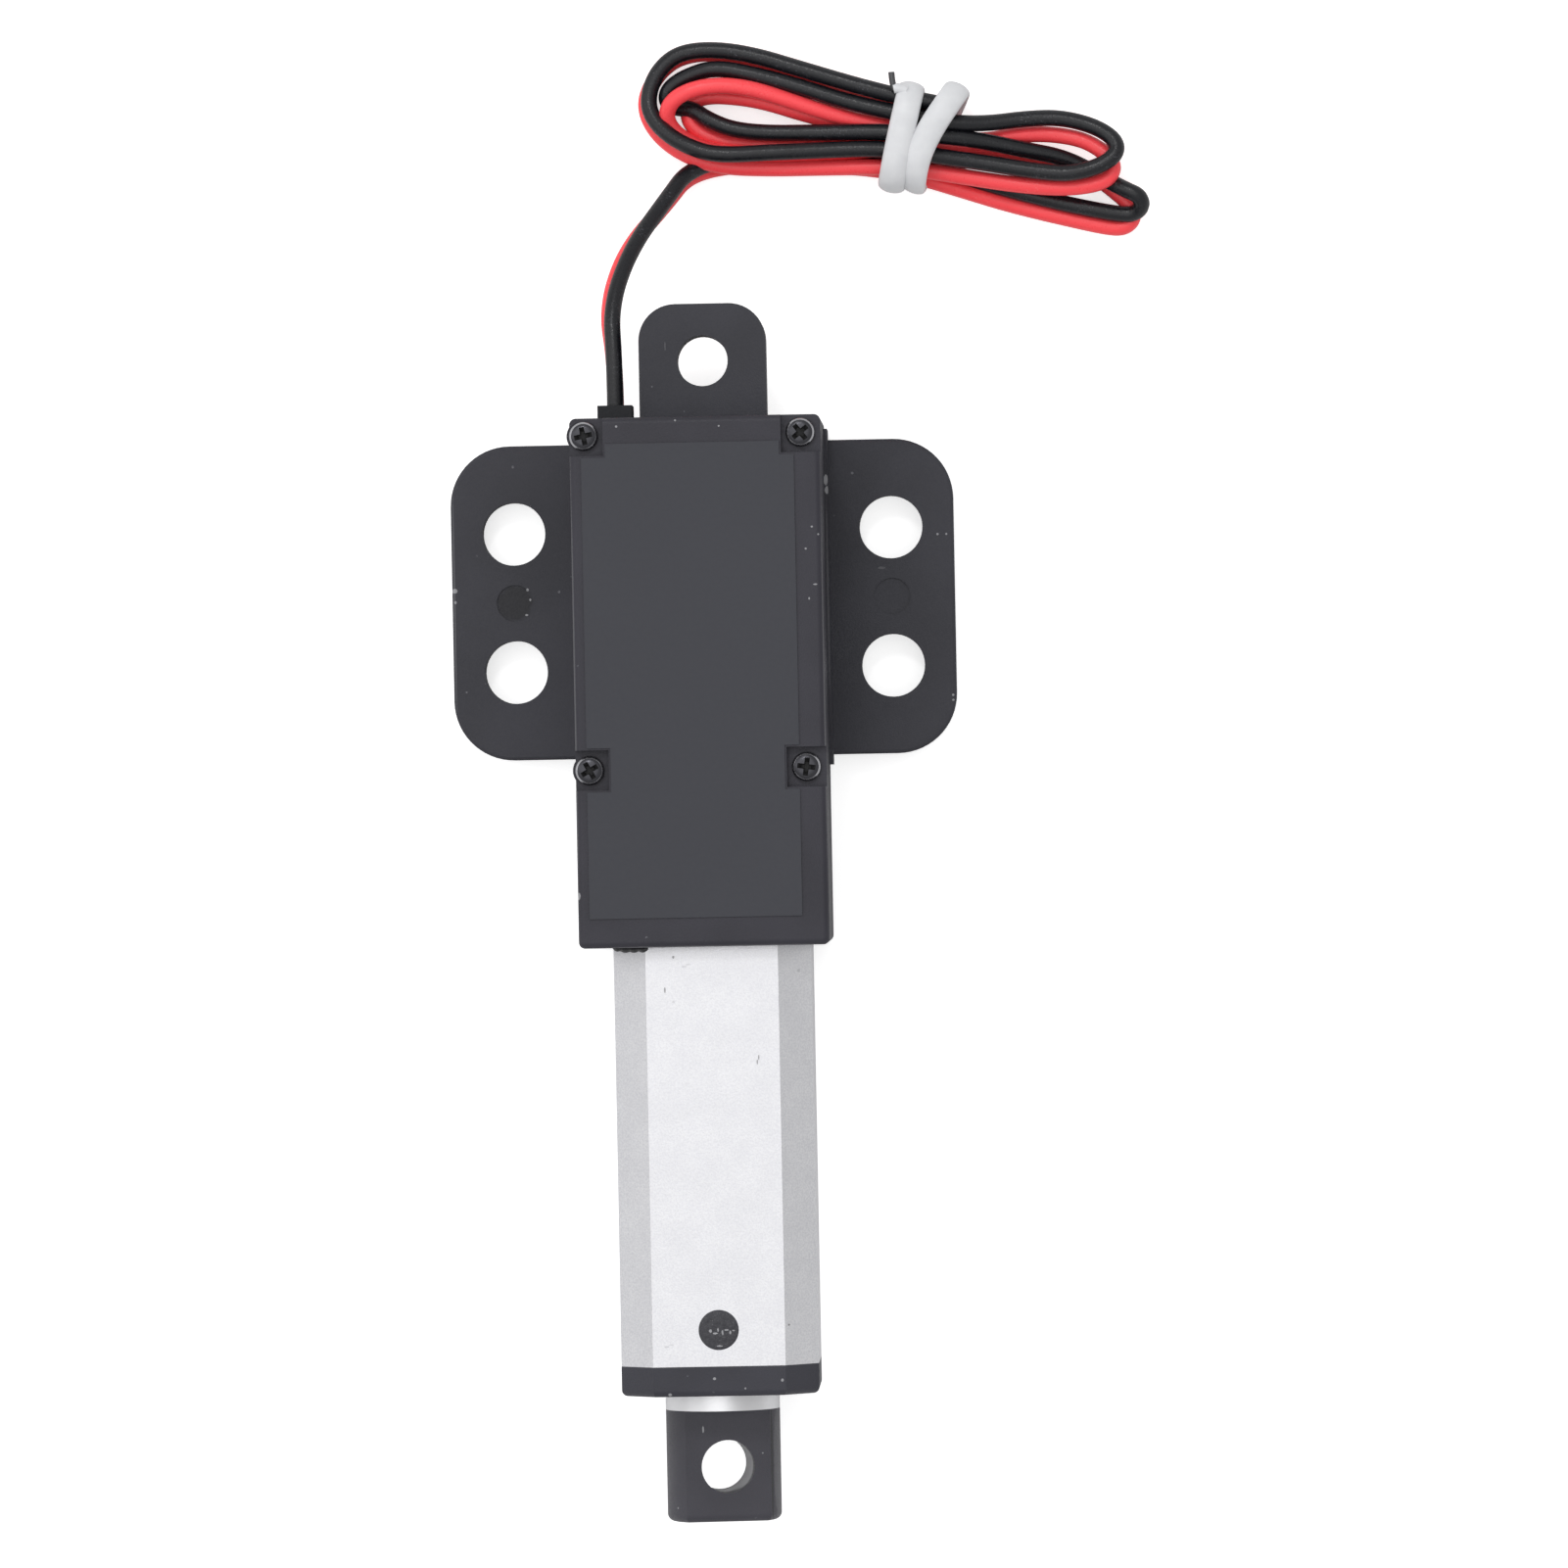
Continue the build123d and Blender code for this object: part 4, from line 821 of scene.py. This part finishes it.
SEALANT = [
    (-7.75, -46.05, 4.95), (-7.5, -46.15, 5.4), (-7.15, -46.12, 5.75), (-6.8, -46.2, 6.1),
    (-6.4, -46.14, 6.5), (-6.05, -46.2, 6.85), (-5.7, -46.12, 7.2), (-5.35, -46.2, 7.55),
    (-5.1, -46.1, 7.78), (-4.95, -46.04, 7.78),
]
SEALANT_RADII = (0.4, 1.0, 0.7, 1.25, 0.85, 1.2, 0.75, 1.15, 0.9, 0.3)
SEALANT_THICK = 0.44


def make_sealant(finishes):
    bead = tube("sealant_bead", SEALANT, SEALANT_THICK, SEALANT_RADII)
    finish_piece(bead, finishes["sealant"])
    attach(bead, "housing")


# Floor, light and background

FLOOR_SIZE = 3000.0
FLOOR_GREY = 0.8
FLOOR_ROUGH = 0.9
FLOOR_GLOW = 0.64
AMBIENT = 0.66


def as_seen(tree, elsewhere, seen):
    """A socket with the value seen for what the camera sees itself, and elsewhere otherwise."""
    path = tree.nodes.new("ShaderNodeLightPath")
    level = tree.nodes.new("ShaderNodeMapRange")
    level.inputs["To Min"].default_value = elsewhere
    level.inputs["To Max"].default_value = seen
    tree.links.new(path.outputs["Is Camera Ray"], level.inputs["Value"])
    return level.outputs["Result"]


def make_floor():
    shape = bmesh.new()
    bmesh.ops.create_grid(shape, x_segments=1, y_segments=1, size=FLOOR_SIZE)
    bmesh.ops.translate(shape, vec=(0.0, 0.0, FLOOR), verts=shape.verts)
    floor = piece_from("floor", shape)
    material = bpy.data.materials.new("floor_white")
    material.use_nodes = True
    tree = material.node_tree
    shader = tree.nodes["Principled BSDF"]
    shader.inputs["Base Color"].default_value = (FLOOR_GREY, FLOOR_GREY, FLOOR_GREY, 1.0)
    shader.inputs["Roughness"].default_value = FLOOR_ROUGH
    shader.inputs["Specular IOR Level"].default_value = 0.0
    shader.inputs["Emission Color"].default_value = (1.0, 1.0, 1.0, 1.0)
    tree.links.new(as_seen(tree, 0.0, FLOOR_GLOW), shader.inputs["Emission Strength"])
    floor.data.materials.append(material)


# Each lamp: its place in metres, the length of its side in metres, and its power in watts
LAMPS = {
    "soft_box_above": ((-0.15, 0.1, 0.8), 0.9, 2.3),
    "soft_box_left": ((-0.9, 0.2, 0.5), 0.7, 1.3),
    "spot_behind": ((-0.1, 0.5, 0.75), 0.12, 1.1),
}
LAMP_AIM = Vector((0.0, -0.033, 0.0))


def lamp(name, place, size, power):
    data = bpy.data.lights.new(name, "AREA")
    data.shape = "SQUARE"
    data.size = size
    data.energy = power
    made = bpy.data.objects.new(name, data)
    scene.collection.objects.link(made)
    made.location = place
    aim = LAMP_AIM - Vector(place)
    made.rotation_euler = aim.to_track_quat("-Z", "Y").to_euler()


def make_light():
    for name, lamp_sizes in LAMPS.items():
        lamp(name, *lamp_sizes)
    world = bpy.data.worlds.new("studio")
    scene.world = world
    world.use_nodes = True
    tree = world.node_tree
    background = tree.nodes["Background"]
    background.inputs["Color"].default_value = (1.0, 1.0, 1.0, 1.0)
    tree.links.new(as_seen(tree, AMBIENT, 1.0), background.inputs["Strength"])


def main():
    make_camera()
    lead = make_lead()
    finishes = make_finishes()
    for name, members in NODE_FINISH.items():
        for node in members:
            finish_piece(nodes[node], finishes[name])
    for name, pieces in lead.items():
        for piece in pieces:
            finish_piece(piece, finishes[name])
    make_screws(finishes)
    make_lugs(finishes)
    make_sealant(finishes)
    make_floor()
    make_light()
    scene.view_settings.view_transform = "Standard"


main()
